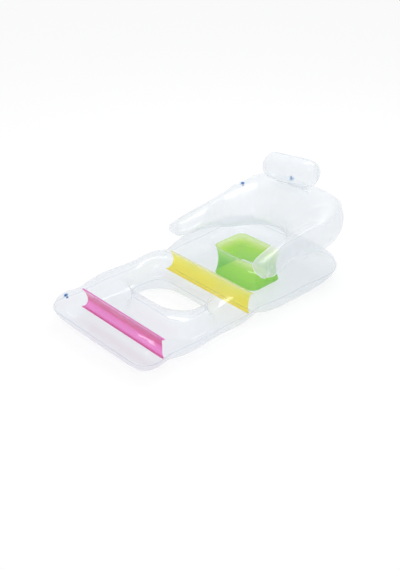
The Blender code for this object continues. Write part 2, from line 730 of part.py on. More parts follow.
def valve(prefix, sheet, tree, near, parent, clear, vinyl):
    """A push-in valve in a sheet: a welded flange, a sliding stem, its non-return flap and its tethered cap."""
    frame = valve_frame(tree, near)
    punch = bmesh.new()
    bmesh.ops.create_cone(
        punch,
        cap_ends=True,
        segments=TURNED_STEPS,
        radius1=VALVE_HOLE_RADIUS,
        radius2=VALVE_HOLE_RADIUS,
        depth=STEM_LENGTH,
    )
    cut(sheet, helper(prefix + "_valve_punch", punch, parent, frame))

    top = min(film_heights(tree, frame, (VALVE_FLANGE_RADIUS, CAP_HINGE_REACH, CAP_RADIUS))) - FILM - WELD_GAP
    under = top - VALVE_FLANGE_THICKNESS
    collar_end = under - VALVE_COLLAR_LENGTH
    bore = STEM_RADIUS + STEM_CLEARANCE
    flange = (
        (VALVE_FLANGE_RADIUS, top),
        (VALVE_FLANGE_RADIUS, under),
        (VALVE_COLLAR_RADIUS, under),
        (VALVE_COLLAR_RADIUS, collar_end),
        (bore, collar_end),
        (bore, top),
    )
    turned(prefix + "_valve_flange", flange, True, clear, parent, frame)

    rim_top = STEM_RIM_RISE + STEM_RIM_THICKNESS
    end = rim_top - STEM_LENGTH
    stem = (
        (CAP_RADIUS, rim_top),
        (CAP_RADIUS, STEM_RIM_RISE),
        (STEM_RADIUS, STEM_RIM_RISE),
        (STEM_RADIUS, end + STEM_STOP_THICKNESS),
        (STEM_STOP_RADIUS, end + STEM_STOP_THICKNESS),
        (STEM_STOP_RADIUS, end),
        (STEM_BORE_RADIUS, end),
        (STEM_BORE_RADIUS, rim_top),
    )
    slide = carrier(prefix + "_valve_slide", frame.translation, parent)
    tube = turned(prefix + "_valve_stem", stem, True, vinyl, slide, frame)
    add_tab(tube, CAP_HINGE_REACH - WELD_GAP, STEM_RIM_RISE, rim_top, slide, frame)

    underside = rim_top + WELD_GAP
    cap_top = underside + CAP_THICKNESS
    cap = (
        (0.0, cap_top),
        (CAP_RADIUS, cap_top),
        (CAP_RADIUS, underside),
        (PLUG_TOP_RADIUS, underside),
        (PLUG_END_RADIUS, underside - PLUG_LENGTH),
        (0.0, underside - PLUG_LENGTH),
    )
    hinge = frame @ Vector((CAP_HINGE_REACH, 0.0, rim_top + WELD_GAP / 2.0))
    lid = carrier(prefix + "_valve_lid", hinge, slide)
    lid_disc = turned(prefix + "_valve_cap", cap, False, vinyl, lid, frame)
    add_tab(lid_disc, CAP_HINGE_REACH, underside, cap_top, lid, frame)

    flap_top = end - WELD_GAP
    flap = (
        (0.0, flap_top),
        (FLAP_RADIUS, flap_top),
        (FLAP_RADIUS, flap_top - FLAP_THICKNESS),
        (0.0, flap_top - FLAP_THICKNESS),
    )
    root = frame @ Vector((-FLAP_RADIUS, 0.0, end - WELD_GAP / 2.0))
    gate = carrier(prefix + "_valve_gate", root, slide)
    turned(prefix + "_valve_flap", flap, False, clear, gate, frame)


def rest_on_ground(pieces):
    """Moves the chair so that its box's bottom centre is the origin."""
    bpy.context.view_layer.update()
    depsgraph = bpy.context.evaluated_depsgraph_get()
    corners = []
    for item in pieces:
        shape = item.evaluated_get(depsgraph)
        corners += [shape.matrix_world @ Vector(corner) for corner in shape.bound_box]
    low = [min(corner[axis] for corner in corners) for axis in range(3)]
    high = [max(corner[axis] for corner in corners) for axis in range(3)]
    ROOT.location = (-(low[0] + high[0]) / 2.0, -(low[1] + high[1]) / 2.0, -low[2])


def main():
    clear = plastic("clear_film", CLEAR, 0.35, 0.12)
    magenta = plastic("magenta_film", MAGENTA, 0.85, 0.2)
    yellow = plastic("yellow_film", YELLOW, 0.85, 0.2)
    green = plastic("green_film", GREEN, 0.85, 0.2)
    blue = plastic("blue_vinyl", BLUE, 1.0, 0.3)
    pale = plastic("pale_blue_vinyl", PALE_BLUE, 0.8, 0.3)

    top, top_tree = base_sheet("base_top_sheet", 1, clear)
    base_sheet("base_bottom_sheet", -1, clear)
    straight_baffle("foot_baffle", FOOT_Y, 0.0, magenta)
    straight_baffle("knee_baffle", KNEE_Y, BAFFLE_LEAN, yellow)
    loop_baffle("seat_baffle", green)

    back = carrier("backrest", (0.0, BACK_Y, SEAM_HEIGHT), ROOT)
    seat = resting_height(top_tree, [vertex.co for vertex in top.data.vertices])
    bm, facing = collar_film(1, seat)
    front, front_tree = sheet_from("backrest_front_sheet", bm, 1, facing, clear, back)
    bm, facing = collar_film(-1, seat)
    sheet_from("backrest_rear_sheet", bm, -1, facing, clear, back)

    crest = collar_crest(seat)
    weld = film_above(front_tree, 0.0, crest.y - PILLOW_WELD_ADVANCE)
    head = carrier("headrest", weld + Vector((0.0, 0.0, WELD_GAP)), back)
    pillow_sheet("headrest_front_sheet", 1, front_tree, crest, clear, head)
    rear, rear_tree = pillow_sheet("headrest_rear_sheet", -1, front_tree, crest, clear, head)

    across, along = FOOT_VALVE_SHARES
    near = film_above(top_tree, across * BASE_HALF_WIDTH, along * FOOT_LENGTH)
    valve("foot", top, top_tree, near, ROOT, pale, blue)
    across, along = BACKREST_VALVE_SHARES
    near = film_above(front_tree, across * COLLAR_HALF_SPAN, COLLAR_TIP_Y + along * COLLAR_REACH)
    valve("backrest", front, front_tree, near, back, pale, blue)
    across, behind, above = HEADREST_VALVE_SHARES
    near = Vector((across * PILLOW_HALF_LENGTH, behind * PILLOW_HALF_DEPTH, above * PILLOW_HALF_HEIGHT))
    near += crest + Vector((0.0, -PILLOW_ADVANCE, PILLOW_RISE))
    valve("headrest", rear, rear_tree, near, head, pale, blue)
    rest_on_ground([item for item in PARTS.objects if item.type == "MESH"])


clear_scene()
PARTS = collection("inflatable_pool_chair")
CUTTERS = collection("cutters")
WORLD_PLACES = {}
ROOT = carrier("chair", (0.0, 0.0, 0.0))
main()
bpy.context.view_layer.update()
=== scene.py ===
"""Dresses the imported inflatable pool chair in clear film, tinted baffles and valves, and sets it in a studio.

Metres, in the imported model's frame: +Z up, the foot end at -Y and the head end at +Y. Lengths along the
mattress are measured from its front seam, and front_seam is that seam's Y in the frame.
"""

import logging
import math
import sys
from collections.abc import Iterator
from contextlib import contextmanager
from dataclasses import dataclass, field, replace
from enum import Enum
from typing import Any

import bpy
import numpy as np
from mathutils import Matrix, Vector
from mathutils.bvhtree import BVHTree

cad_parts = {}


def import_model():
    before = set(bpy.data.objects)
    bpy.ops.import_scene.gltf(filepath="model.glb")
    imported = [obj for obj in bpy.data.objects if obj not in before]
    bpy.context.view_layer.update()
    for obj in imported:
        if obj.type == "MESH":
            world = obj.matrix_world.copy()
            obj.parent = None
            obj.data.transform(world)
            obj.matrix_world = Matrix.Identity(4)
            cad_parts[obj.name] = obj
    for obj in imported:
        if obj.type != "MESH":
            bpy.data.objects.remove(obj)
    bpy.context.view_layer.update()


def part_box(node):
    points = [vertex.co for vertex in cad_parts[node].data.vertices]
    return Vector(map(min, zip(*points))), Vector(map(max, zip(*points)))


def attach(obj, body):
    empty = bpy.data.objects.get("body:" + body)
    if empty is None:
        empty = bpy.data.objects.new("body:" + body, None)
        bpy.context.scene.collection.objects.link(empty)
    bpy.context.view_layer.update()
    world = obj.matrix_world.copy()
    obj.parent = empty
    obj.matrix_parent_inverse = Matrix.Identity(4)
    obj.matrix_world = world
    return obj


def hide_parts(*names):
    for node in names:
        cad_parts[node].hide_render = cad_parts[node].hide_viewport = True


LOG = logging.getLogger("pool_chair")
FILM = 0.0003
WELD_GAP = 0.0003
FLANGE = 0.006
LIFT = FILM + WELD_GAP / 2.0
WHITE = (1.0, 1.0, 1.0, 1.0)
BATCH = 4000
SOLVER_ROUNDS = 3000
SOLVER_END = 1e-12


class Side(Enum):
    """Which of a chamber's two sheets is meant: the one that faces the sitter, or the one behind it."""

    FRONT = 1
    REAR = -1


class Easing(Enum):
    """How a row of grid lines is spaced between its two ends."""

    EVEN = "even"
    START = "start"
    END = "end"
    BOTH = "both"


# Finishes


def linear(code: str) -> tuple[float, float, float, float]:
    """Turns an sRGB hex colour into the linear colour that a shader takes.

    Args:
        code: Six hex digits.

    Returns:
        Red, green, blue and an alpha of one.
    """
    values = [int(code[start : start + 2], 16) / 255.0 for start in (0, 2, 4)]
    bright = [value / 12.92 if value <= 0.04045 else ((value + 0.055) / 1.055) ** 2.4 for value in values]
    return (bright[0], bright[1], bright[2], 1.0)


def add_node(tree: bpy.types.NodeTree, kind: str, inputs: dict[Any, Any], **settings: Any) -> bpy.types.Node:
    """Adds a shader node with its settings, its fixed values and its links.

    Args:
        tree: The material's node tree.
        kind: The node's type name.
        inputs: For each socket, a value or the output socket that feeds it.
        settings: Properties of the node itself.

    Returns:
        The new node.
    """
    node = tree.nodes.new(kind)
    for name, value in settings.items():
        setattr(node, name, value)
    for socket, value in inputs.items():
        if isinstance(value, bpy.types.NodeSocket):
            tree.links.new(value, node.inputs[socket])
        else:
            node.inputs[socket].default_value = value
    return node


def new_tree(name: str) -> tuple[bpy.types.Material, bpy.types.NodeTree]:
    """A new material with an empty node tree."""
    made = bpy.data.materials.new(name)
    made.use_nodes = True
    made.node_tree.nodes.clear()
    return made, made.node_tree


def attribute(tree: bpy.types.NodeTree, name: str) -> bpy.types.NodeSocket:
    """The value that a mesh's points hold under a name."""
    return add_node(tree, "ShaderNodeAttribute", {}, attribute_name=name).outputs["Fac"]


def compute(tree: bpy.types.NodeTree, operation: str, *values: Any) -> bpy.types.NodeSocket:
    """The result of one sum on fixed values and sockets."""
    return add_node(tree, "ShaderNodeMath", dict(enumerate(values)), operation=operation).outputs[0]


def mix(
    tree: bpy.types.NodeTree, share: Any, first: bpy.types.Node, second: bpy.types.Node
) -> bpy.types.Node:
    """A shader that goes from the first to the second as the share goes from 0 to 1."""
    return add_node(tree, "ShaderNodeMixShader", {0: share, 1: first.outputs[0], 2: second.outputs[0]})


def seen_directly(tree: bpy.types.NodeTree) -> bpy.types.NodeSocket:
    """One for what the camera sees, in a reflection or through film too, and nought for other light."""
    path = add_node(tree, "ShaderNodeLightPath", {})
    seen = compute(tree, "MAXIMUM", path.outputs["Is Camera Ray"], path.outputs["Is Glossy Ray"])
    return compute(tree, "MAXIMUM", seen, path.outputs["Is Transmission Ray"])


@dataclass(frozen=True)
class Film:
    """Plasticised PVC film, calendered to a gloss, with a soft sheen where it grazes.

    A clear film has one face tint and one milk. A tinted one has bands instead, from the bottom weld up, which
    paint the strip's light and shade into its tint.
    """

    name: str
    edge_tint: str
    haze: float
    edge_haze: float
    face_tint: str = ""
    milk: str = ""
    edge_power: float = 2.5
    mirror_power: float = 5.0
    mirror_gain: float = 0.60
    sheen_roughness: float = 0.38
    gloss_roughness: float = 0.12
    gloss_share: float = 0.35
    shine: float = 0.065
    ripple: float = 0.5
    ripple_size_mm: float = 110.0
    ripple_height: float = 0.002
    weld_pitch_mm: float = 4.0
    weld_height: float = 0.00004
    bands: tuple[tuple[float, str, str], ...] = ()

    def relief(self, tree: bpy.types.NodeTree) -> bpy.types.NodeSocket:
        """The film's slow ripple, and the ribs that the welding tool leaves along each weld.

        Args:
            tree: The material's node tree.

        Returns:
            The bent normal.
        """
        spot = add_node(tree, "ShaderNodeTexCoord", {}).outputs["Object"]
        swell = add_node(
            tree,
            "ShaderNodeTexNoise",
            {"Vector": spot, "Scale": 1000.0 / self.ripple_size_mm, "Detail": 2.0, "Roughness": 0.4},
        )
        slow = add_node(
            tree,
            "ShaderNodeBump",
            {"Height": swell.outputs["Fac"], "Strength": self.ripple, "Distance": self.ripple_height},
        )
        # The tool's ribs are about 1 mm apart on the real weld, and are drawn at 4 mm so that they show
        ribs = add_node(
            tree,
            "ShaderNodeTexWave",
            {"Vector": spot, "Scale": 314.0 / self.weld_pitch_mm, "Distortion": 0.0, "Detail": 0.0},
            bands_direction="DIAGONAL",
        )
        inputs = {
            "Height": ribs.outputs["Fac"],
            "Strength": attribute(tree, "weld"),
            "Distance": self.weld_height,
            "Normal": slow.outputs["Normal"],
        }
        return add_node(tree, "ShaderNodeBump", inputs).outputs["Normal"]

    def banded(self, tree: bpy.types.NodeTree, which: int) -> bpy.types.NodeSocket:
        """The strip's tint from its bottom weld to its top one, with its light and shade painted in: a pale
        painted highlight by the top weld and lighter and darker painted bands below.

        Args:
            tree: The material's node tree.
            which: 1 for the colour that light takes on as it passes, 2 for the milk's.

        Returns:
            The colour, read along the piece's own rise.
        """
        # The ramp paints the strip's light and shade into its tint: bands of painted highlight and painted
        # shade up its height
        ramp = add_node(tree, "ShaderNodeValToRGB", {"Fac": attribute(tree, "rise")})
        stops = ramp.color_ramp.elements
        while len(stops) < len(self.bands):
            stops.new(0.5)
        for stop, band in zip(stops, self.bands):
            stop.position = band[0]
            stop.color = linear(band[which])
        return ramp.outputs["Color"]

    def material(self) -> bpy.types.Material:
        """Builds the film's material.

        A sheet is tinted by both of its faces, and its milk and shine lie on the face that is met first.

        Returns:
            The material.
        """
        made, tree = new_tree(self.name)
        bent = self.relief(tree)
        graze = add_node(tree, "ShaderNodeLayerWeight", {"Blend": 0.5}).outputs["Facing"]
        edge = compute(tree, "POWER", graze, self.edge_power)
        # A tinted film's face and milk colours carry its bands of painted light and shade
        face = self.banded(tree, 1) if self.bands else linear(self.face_tint)
        milk = self.banded(tree, 2) if self.bands else linear(self.milk)
        tones = {0: edge, 6: face, 7: linear(self.edge_tint)}
        tint = add_node(tree, "ShaderNodeMix", tones, data_type="RGBA")
        clear = add_node(tree, "ShaderNodeBsdfTransparent", {"Color": tint.outputs[2]})
        lit = add_node(tree, "ShaderNodeBsdfDiffuse", {"Color": milk, "Normal": bent})
        through = add_node(tree, "ShaderNodeBsdfTranslucent", {"Color": milk, "Normal": bent})
        cloud = compute(tree, "MULTIPLY_ADD", edge, self.edge_haze, self.haze)
        body = mix(tree, cloud, clear, mix(tree, 0.5, lit, through))
        wide, tight = (
            add_node(tree, "ShaderNodeBsdfAnisotropic", {"Color": WHITE, "Roughness": rough, "Normal": bent})
            for rough in (self.sheen_roughness, self.gloss_roughness)
        )
        gloss = mix(tree, self.gloss_share, wide, tight)
        glance = compute(tree, "POWER", graze, self.mirror_power)
        mirror = compute(tree, "MULTIPLY_ADD", glance, self.mirror_gain, self.shine)
        second = add_node(tree, "ShaderNodeNewGeometry", {}).outputs["Backfacing"]
        sheet = mix(tree, second, mix(tree, mirror, body, gloss), clear)
        add_node(tree, "ShaderNodeOutputMaterial", {"Surface": sheet.outputs[0]})
        return made


@dataclass(frozen=True)
class Moulding:
    """Injection-moulded soft PVC: an even colour with a faint mould grain and a satin shine."""

    name: str
    colour: str
    roughness: float
    alpha: float = 1.0

    def material(self) -> bpy.types.Material:
        """Builds the moulding's material."""
        made, tree = new_tree(self.name)
        spot = add_node(tree, "ShaderNodeTexCoord", {}).outputs["Object"]
        grain = add_node(tree, "ShaderNodeTexNoise", {"Vector": spot, "Scale": 900.0, "Detail": 2.0})
        bump = add_node(
            tree,
            "ShaderNodeBump",
            {"Height": grain.outputs["Fac"], "Strength": 0.25, "Distance": 0.0002},
        )
        shade = compute(tree, "MULTIPLY_ADD", grain.outputs["Fac"], 0.2, 0.9)
        tone = add_node(tree, "ShaderNodeHueSaturation", {"Color": linear(self.colour), "Value": shade})
        skin = add_node(
            tree,
            "ShaderNodeBsdfPrincipled",
            {
                "Base Color": tone.outputs["Color"],
                "Roughness": self.roughness,
                "IOR": 1.5,
                "Alpha": self.alpha,
                "Normal": bump.outputs["Normal"],
            },
        )
        add_node(tree, "ShaderNodeOutputMaterial", {"Surface": skin.outputs[0]})
        return made


# Clear film shows as a pale grey wash, whitest where it is cloudy and where it curves away from the eye
MATTRESS_FILM = Film(
    "calendered_clear_film",
    "F9FAFC",
    0.040,
    0.18,
    face_tint="FBFCFD",
    milk="FDFEFF",
    shine=0.055,
    gloss_share=0.55,
)
COLLAR_FILM = Film("calendered_cloudy_film", "FAFBFD", 0.22, 0.37, face_tint="FCFDFE", milk="FEFEFF")
# Tinted film takes its colour from the light that comes through it. Its bands also paint light and shade up the
# strip: a pale painted highlight by its top weld, and lighter and darker painted bands below
MAGENTA_FILM = Film(
    "calendered_magenta_film",
    "EC60BC",
    0.12,
    0.06,
    sheen_roughness=0.24,
    # Lighter bands low down and by the top weld are painted highlight, and the darker core is painted shade
    bands=(
        (0.0, "F47CCC", "F070C0"),
        (0.05, "FFA8E6", "FF98DC"),
        (0.14, "FFBCEC", "FFB0E4"),
        (0.38, "FFA4E4", "FF94D8"),
        (0.52, "F044BA", "F038AA"),
        (0.72, "F04CBE", "F040B0"),
        (0.90, "F888D4", "F878C8"),
        (1.0, "FCA8E4", "FC98DC"),
    ),
)
# The yellow's pale top bands are a painted highlight by the top weld
YELLOW_FILM = Film(
    "calendered_yellow_film",
    "FFF020",
    0.10,
    0.06,
    sheen_roughness=0.24,
    bands=(
        (0.0, "FFF440", "FFEE30"),
        (0.10, "FFF620", "FFF010"),
        (0.50, "FFF810", "FFF408"),
        (0.72, "FFFA40", "FFF830"),
        (0.88, "FFFDA8", "FFFCA0"),
        (1.0, "FFFEC8", "FFFDC4"),
    ),
)
# The green runs from deeper low down to pale by the top weld, painted shade and a painted highlight over its
# tint
GREEN_FILM = Film(
    "calendered_green_film",
    "C4F060",
    0.12,
    0.06,
    sheen_roughness=0.24,
    bands=(
        (0.0, "BCEC10", "98E410"),
        (0.25, "C4F020", "A8EC20"),
        (0.60, "D0F450", "B8F440"),
        (0.80, "E8FAA8", "E0FA98"),
        (0.92, "F6FFD8", "F4FFD8"),
        (1.0, "ECFCC4", "E4F8B8"),
    ),
)
# Soft moulded PVC: deep blue for the plug and stem, pale and see-through for what is welded to the film
BLUE_VINYL = Moulding("moulded_blue_vinyl", "2F6FB4", 0.28)
PALE_VINYL = Moulding("moulded_pale_vinyl", "A9CDEC", 0.25, 0.8)


# Making of meshes


def deselect() -> None:
    """Leaves object mode with nothing selected."""
    if bpy.context.object and bpy.context.object.mode != "OBJECT":
        bpy.ops.object.mode_set(mode="OBJECT")
    bpy.ops.object.select_all(action="DESELECT")


@contextmanager
def editing() -> Iterator[None]:
    """Edit mode on the active piece with all of it selected, and object mode again afterwards."""
    bpy.ops.object.mode_set(mode="EDIT")
    bpy.ops.mesh.select_all(action="SELECT")
    yield
    bpy.ops.object.mode_set(mode="OBJECT")


def combine(item: bpy.types.Object, tool: bpy.types.Object, operation: str) -> None:
    """Cuts a piece with a tool or joins the tool to it, and removes the tool."""
    deselect()
    bpy.context.view_layer.objects.active = item
    change = item.modifiers.new("shape", "BOOLEAN")
    change.operation = operation
    change.solver = "EXACT"
    change.object = tool
    bpy.ops.object.modifier_apply(modifier=change.name)
    bpy.data.objects.remove(tool)


def spaced(start: float, end: float, count: int, easing: Easing = Easing.EVEN) -> list[float]:
    """Grid lines after a start, up to and including an end.

    Args:
        start: Where the stretch starts; it isn't in the result.
        end: Where the stretch ends.
        count: How many lines there are.
        easing: Where the lines lie closer together.

    Returns:
        The lines' places.
    """
    lines = []
    for step in range(1, count + 1):
        share = step / count
        if easing is Easing.START:
            share = 1.0 - math.cos(share * math.pi / 2.0)
        elif easing is Easing.END:
            share = math.sin(share * math.pi / 2.0)
        elif easing is Easing.BOTH:
            share = 0.5 * share + 0.25 * (1.0 - math.cos(share * math.pi))
        lines.append(start + share * (end - start))
    return lines


def corner_inset(distance: float, radius: float) -> float:
    """How far a rounded corner draws a side in, at a distance from the end."""
    short = max(radius - max(distance, 0.0), 0.0)
    return radius - math.sqrt(radius * radius - short * short)


def smooth_step(values: np.ndarray, low: float, high: float) -> np.ndarray:
    """Zero below low, one above high, and a smooth rise between."""
    share = np.clip((values - low) / (high - low), 0.0, 1.0)
    return share * share * (3.0 - 2.0 * share)


def sheet_object(
    name: str,
    net: np.ndarray,
    gone: np.ndarray | None,
    flip: bool,
    finish: bpy.types.Material,
    weld: np.ndarray | None = None,
    rise: np.ndarray | None = None,
) -> bpy.types.Object:
    """Makes a sheet of film from a net of points.

    Args:
        name: The piece's name.
        net: The points of its outer face, as rows by columns by three.
        gone: Which of the net's faces are cut away, or None.
        flip: Whether the outer side is the one that sees the net's rows run left to right going down.
        finish: The film's material.
        weld: How much of a weld each point lies on, or None.
        rise: How far up a strip each point lies, from 0 to 1, or None.

    Returns:
        The sheet, still without its thickness.
    """
    rows, columns = net.shape[:2]
    deselect()
    bpy.ops.mesh.primitive_grid_add(
        x_subdivisions=columns - 1, y_subdivisions=rows - 1, size=2.0, location=(0, 0, 0)
    )
    made = bpy.context.object
    made.name = name
    made.data.name = name
    made.data.vertices.foreach_set("co", net.reshape(-1).astype(np.float32))
    for label, values in (("weld", weld), ("rise", rise)):
        if values is not None:
            mark = made.data.attributes.new(label, "FLOAT", "POINT")
            mark.data.foreach_set("value", values.reshape(-1).astype(np.float32))
    made.data.update()
    if gone is not None and gone.any():
        bpy.ops.object.mode_set(mode="EDIT")
        bpy.ops.mesh.select_mode(type="FACE")
        bpy.ops.mesh.select_all(action="DESELECT")
        bpy.ops.object.mode_set(mode="OBJECT")
        made.data.polygons.foreach_set("select", gone.reshape(-1))
        bpy.ops.object.mode_set(mode="EDIT")
        bpy.ops.mesh.delete(type="FACE")
        bpy.ops.object.mode_set(mode="OBJECT")
    if flip:
        with editing():
            bpy.ops.mesh.flip_normals()
    made.data.materials.append(finish)
    return made


def thicken(item: bpy.types.Object) -> None:
    """Gives an open sheet its film's thickness, inwards, and smooths its shading."""
    deselect()
    item.select_set(True)
    bpy.context.view_layer.objects.active = item
    wall = item.modifiers.new("film", "SOLIDIFY")
    wall.thickness = FILM
    wall.offset = -1.0
    bpy.ops.object.modifier_apply(modifier=wall.name)
    bpy.ops.object.shade_smooth_by_angle(angle=math.radians(50.0))


def dress(item: bpy.types.Object, node: str, body: str) -> None:
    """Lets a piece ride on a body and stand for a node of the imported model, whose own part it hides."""
    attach(item, body)
    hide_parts(node)
    if not item.data.polygons:
        raise ValueError(item.name + " has no faces")
    LOG.info("%s: %d faces, on %s", item.name, len(item.data.polygons), body)


def tree_of(net: np.ndarray, gone: np.ndarray | None = None) -> BVHTree:
    """A search tree over a net's faces."""
    rows, columns = net.shape[:2]
    index = np.arange(rows * columns).reshape(rows, columns)
    quads = np.stack([index[:-1, :-1], index[:-1, 1:], index[1:, 1:], index[1:, :-1]], axis=-1)
    quads = quads[~gone] if gone is not None else quads.reshape(-1, 4)
    return BVHTree.FromPolygons(net.reshape(-1, 3).tolist(), quads.tolist())


def outward_of(net: np.ndarray, flip: bool) -> np.ndarray:
    """The direction out of a sheet at each point of its net."""
    square = np.cross(np.gradient(net, axis=1), np.gradient(net, axis=0))
    size = np.linalg.norm(square, axis=2, keepdims=True)
    return square / np.where(size > 1e-12, size, 1.0) * (-1.0 if flip else 1.0)


def along_line(line: np.ndarray) -> np.ndarray:
    """How far along a line each of its points lies."""
    steps = np.linalg.norm(np.diff(line, axis=0), axis=1)
    return np.concatenate([[0.0], np.cumsum(steps)])


def nearest_on(points: np.ndarray, line: np.ndarray) -> tuple[np.ndarray, np.ndarray, np.ndarray]:
    """The point of a line that is nearest to each point.

    Args:
        points: The points, in two dimensions.
        line: The line's own points.

    Returns:
        The distance, how far along the line the nearest point lies, and that point's number.
    """
    run = along_line(line)
    away = np.empty(len(points))
    number = np.empty(len(points), int)
    for start in range(0, len(points), BATCH):
        part = points[start : start + BATCH]
        apart = np.hypot(part[:, None, 0] - line[None, :, 0], part[:, None, 1] - line[None, :, 1])
        number[start : start + BATCH] = apart.argmin(axis=1)
        away[start : start + BATCH] = apart.min(axis=1)
    place = run[number]
    for step in (-1, 1):
        reach = line[(number + step) % len(line)] - line[number]
        length = np.maximum(np.linalg.norm(reach, axis=1), 1e-9)
        ahead = np.clip(((points - line[number]) * reach).sum(axis=1) / length, 0.0, length)
        apart = np.linalg.norm(points - line[number] - (ahead / length)[:, None] * reach, axis=1)
        place = np.where(apart < away, run[number] + step * ahead, place)
        away = np.minimum(apart, away)
    return away, place, number


@dataclass(frozen=True)
class Gather:
    """Furrows that run square off a weld, where the air draws the film together."""

    depth: float
    spacing: float
    reach: float
    seed: int
    narrow: float = 0.020
    widening: float = 0.16
    deepest: float = 1.2
    weld_edge: float = 0.003
    weld_free: float = 0.024

    def furrows(self, along: np.ndarray, away: np.ndarray, tight: np.ndarray) -> np.ndarray:
        """How deep the film sinks.

        Args:
            along: How far along the weld each point lies.
            away: How far from the weld each point lies.
            tight: How much the film is gathered there, from 0 to 1.

        Returns:
            The depth at each point.
        """
        chance = np.random.default_rng(self.seed)
        length = float(along.max())
        sunk = np.zeros(along.shape)
        place = self.spacing * chance.random()
        width = self.narrow + self.widening * away
        while place < length:
            strength = 0.4 + 0.6 * chance.random()
            peak = 0.28 * self.reach * (0.6 + 0.8 * chance.random())
            lean = 0.6 * (chance.random() - 0.5)
            shape = (away / peak) * np.exp(1.0 - away / peak)
            sunk += strength * shape * np.exp(-(((along - place + lean * away) / width) ** 2))
            place += self.spacing * (0.55 + 0.9 * chance.random())
        free = smooth_step(away, self.weld_edge, self.weld_free)
        return self.depth * np.minimum(sunk, self.deepest) * tight * free


def creased(
    points: np.ndarray, start: tuple[float, float], end: tuple[float, float], depth: float, width: float
) -> np.ndarray:
    """How deep a straight crease between two places of a flat plan sinks each point."""
    first, last = np.array(start), np.array(end)
    reach = last - first
    share = np.clip(((points - first) @ reach) / (reach @ reach), 0.0, 1.0)
    apart = np.linalg.norm(points - first - share[..., None] * reach, axis=-1)
    taper = np.sin(np.pi * np.clip(0.15 + 0.85 * share, 0.0, 1.0))
    return depth * taper * np.exp(-((apart / width) ** 2))


def inflate(
    flat: np.ndarray, gone: np.ndarray, held: np.ndarray, rise: np.ndarray, pressure: np.ndarray
) -> np.ndarray:
    """How far air lifts each point of a flat sheet whose welds are held.

    Half the square of the rise obeys a membrane's equation, which gives round tubes between straight welds.

    Args:
        flat: The sheet's points, rows by columns by two.
        gone: Which faces are cut away.
        held: Which points are welded.
        rise: The rise of the welded points.
        pressure: Each face's share of the air's pressure.

    Returns:
        The rise of every point.
    """
    rows, columns = flat.shape[:2]
    total = rows * columns
    index = np.arange(total).reshape(rows, columns)
    kept = ~gone
    a = index[:-1, :-1][kept]
    b = index[:-1, 1:][kept]
    c = index[1:, 1:][kept]
    d = index[1:, :-1][kept]
    spots = np.concatenate([np.stack([a, b, c], 1), np.stack([a, c, d], 1)])
    push = np.concatenate([pressure[kept], pressure[kept]])
    place = flat.reshape(-1, 2)[spots]
    edge = place[:, [2, 0, 1]] - place[:, [1, 2, 0]]
    area = np.abs(edge[:, 0, 0] * edge[:, 1, 1] - edge[:, 0, 1] * edge[:, 1, 0]) / 2.0
    area = np.maximum(area, 1e-12)
    local = np.einsum("nik,njk->nij", edge, edge) / (4.0 * area)[:, None, None]
    keys = (np.repeat(spots, 3, axis=1).ravel().astype(np.int64) * total) + np.tile(spots, (1, 3)).ravel()
    unique, where = np.unique(keys, return_inverse=True)
    weight = np.bincount(where, local.ravel())
    row, column = unique // total, unique % total
    load = np.bincount(spots.ravel(), np.repeat(area * push / 3.0, 3), minlength=total)
    fixed = held.ravel()
    energy = np.where(fixed, rise.ravel() ** 2 / 2.0, 0.0)
    used = np.bincount(row, minlength=total) > 0
    free = (~fixed) & used
    diagonal = np.bincount(row[row == column], weight[row == column], minlength=total)
    diagonal = np.where(diagonal > 0.0, diagonal, 1.0)

    def stiffness(values: np.ndarray) -> np.ndarray:
        """The film's pull at each free point for given values."""
        return np.where(free, np.bincount(row, weight * values[column], minlength=total), 0.0)

    rest = np.where(free, load, 0.0) - stiffness(energy)
    answer = np.zeros(total)
    step = rest / diagonal
    size = rest @ step
    start = size
    for _ in range(SOLVER_ROUNDS):
        pull = stiffness(step)
        share = size / (step @ pull)
        answer += share * step
        rest -= share * pull
        ready = rest / diagonal
        after = rest @ ready
        if after < start * SOLVER_END:
            break
        step = ready + (after / size) * step
        size = after
    energy = energy + answer
    return np.sqrt(2.0 * np.maximum(energy, 0.0)).reshape(rows, columns)


@dataclass
class ValveSeat:
    """Where a valve sits in a sheet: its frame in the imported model, and its flange's depth under the film."""

    name: str
    body: str
    origin: tuple[float, float, float]
    across: tuple[float, float, float]
    along: tuple[float, float, float]
    outward: tuple[float, float, float]
    flange_top: float
    flat_radius: float = 0.014
    blend_radius: float = 0.042
    sheet_reach: float = 0.03

    def frame(self) -> Matrix:
        """The seat's frame, with Z out of the film."""
        axes = Matrix((self.across, self.along, self.outward)).transposed().to_4x4()
        return Matrix.Translation(Vector(self.origin)) @ axes

    def flatten(self, net: np.ndarray) -> np.ndarray:
        """Draws the film near the valve down to the welded flange.

        Args:
            net: The sheet's points.

        Returns:
            The points, with those near the valve moved along its axis.
        """
        axes = np.array([self.across, self.along, self.outward])
        axes /= np.linalg.norm(axes, axis=1)[:, None]
        local = (net.reshape(-1, 3) - np.array(self.origin)) @ axes.T
        radius = np.hypot(local[:, 0], local[:, 1])
        level = (self.flange_top + 2.0 * FILM) * (radius / self.flat_radius) ** 2
        near = 1.0 - smooth_step(radius, self.flat_radius, self.blend_radius)
        near = near * (np.abs(local[:, 2]) < self.sheet_reach)
        local[:, 2] += near * (level - local[:, 2])
        return (local @ axes + np.array(self.origin)).reshape(net.shape)


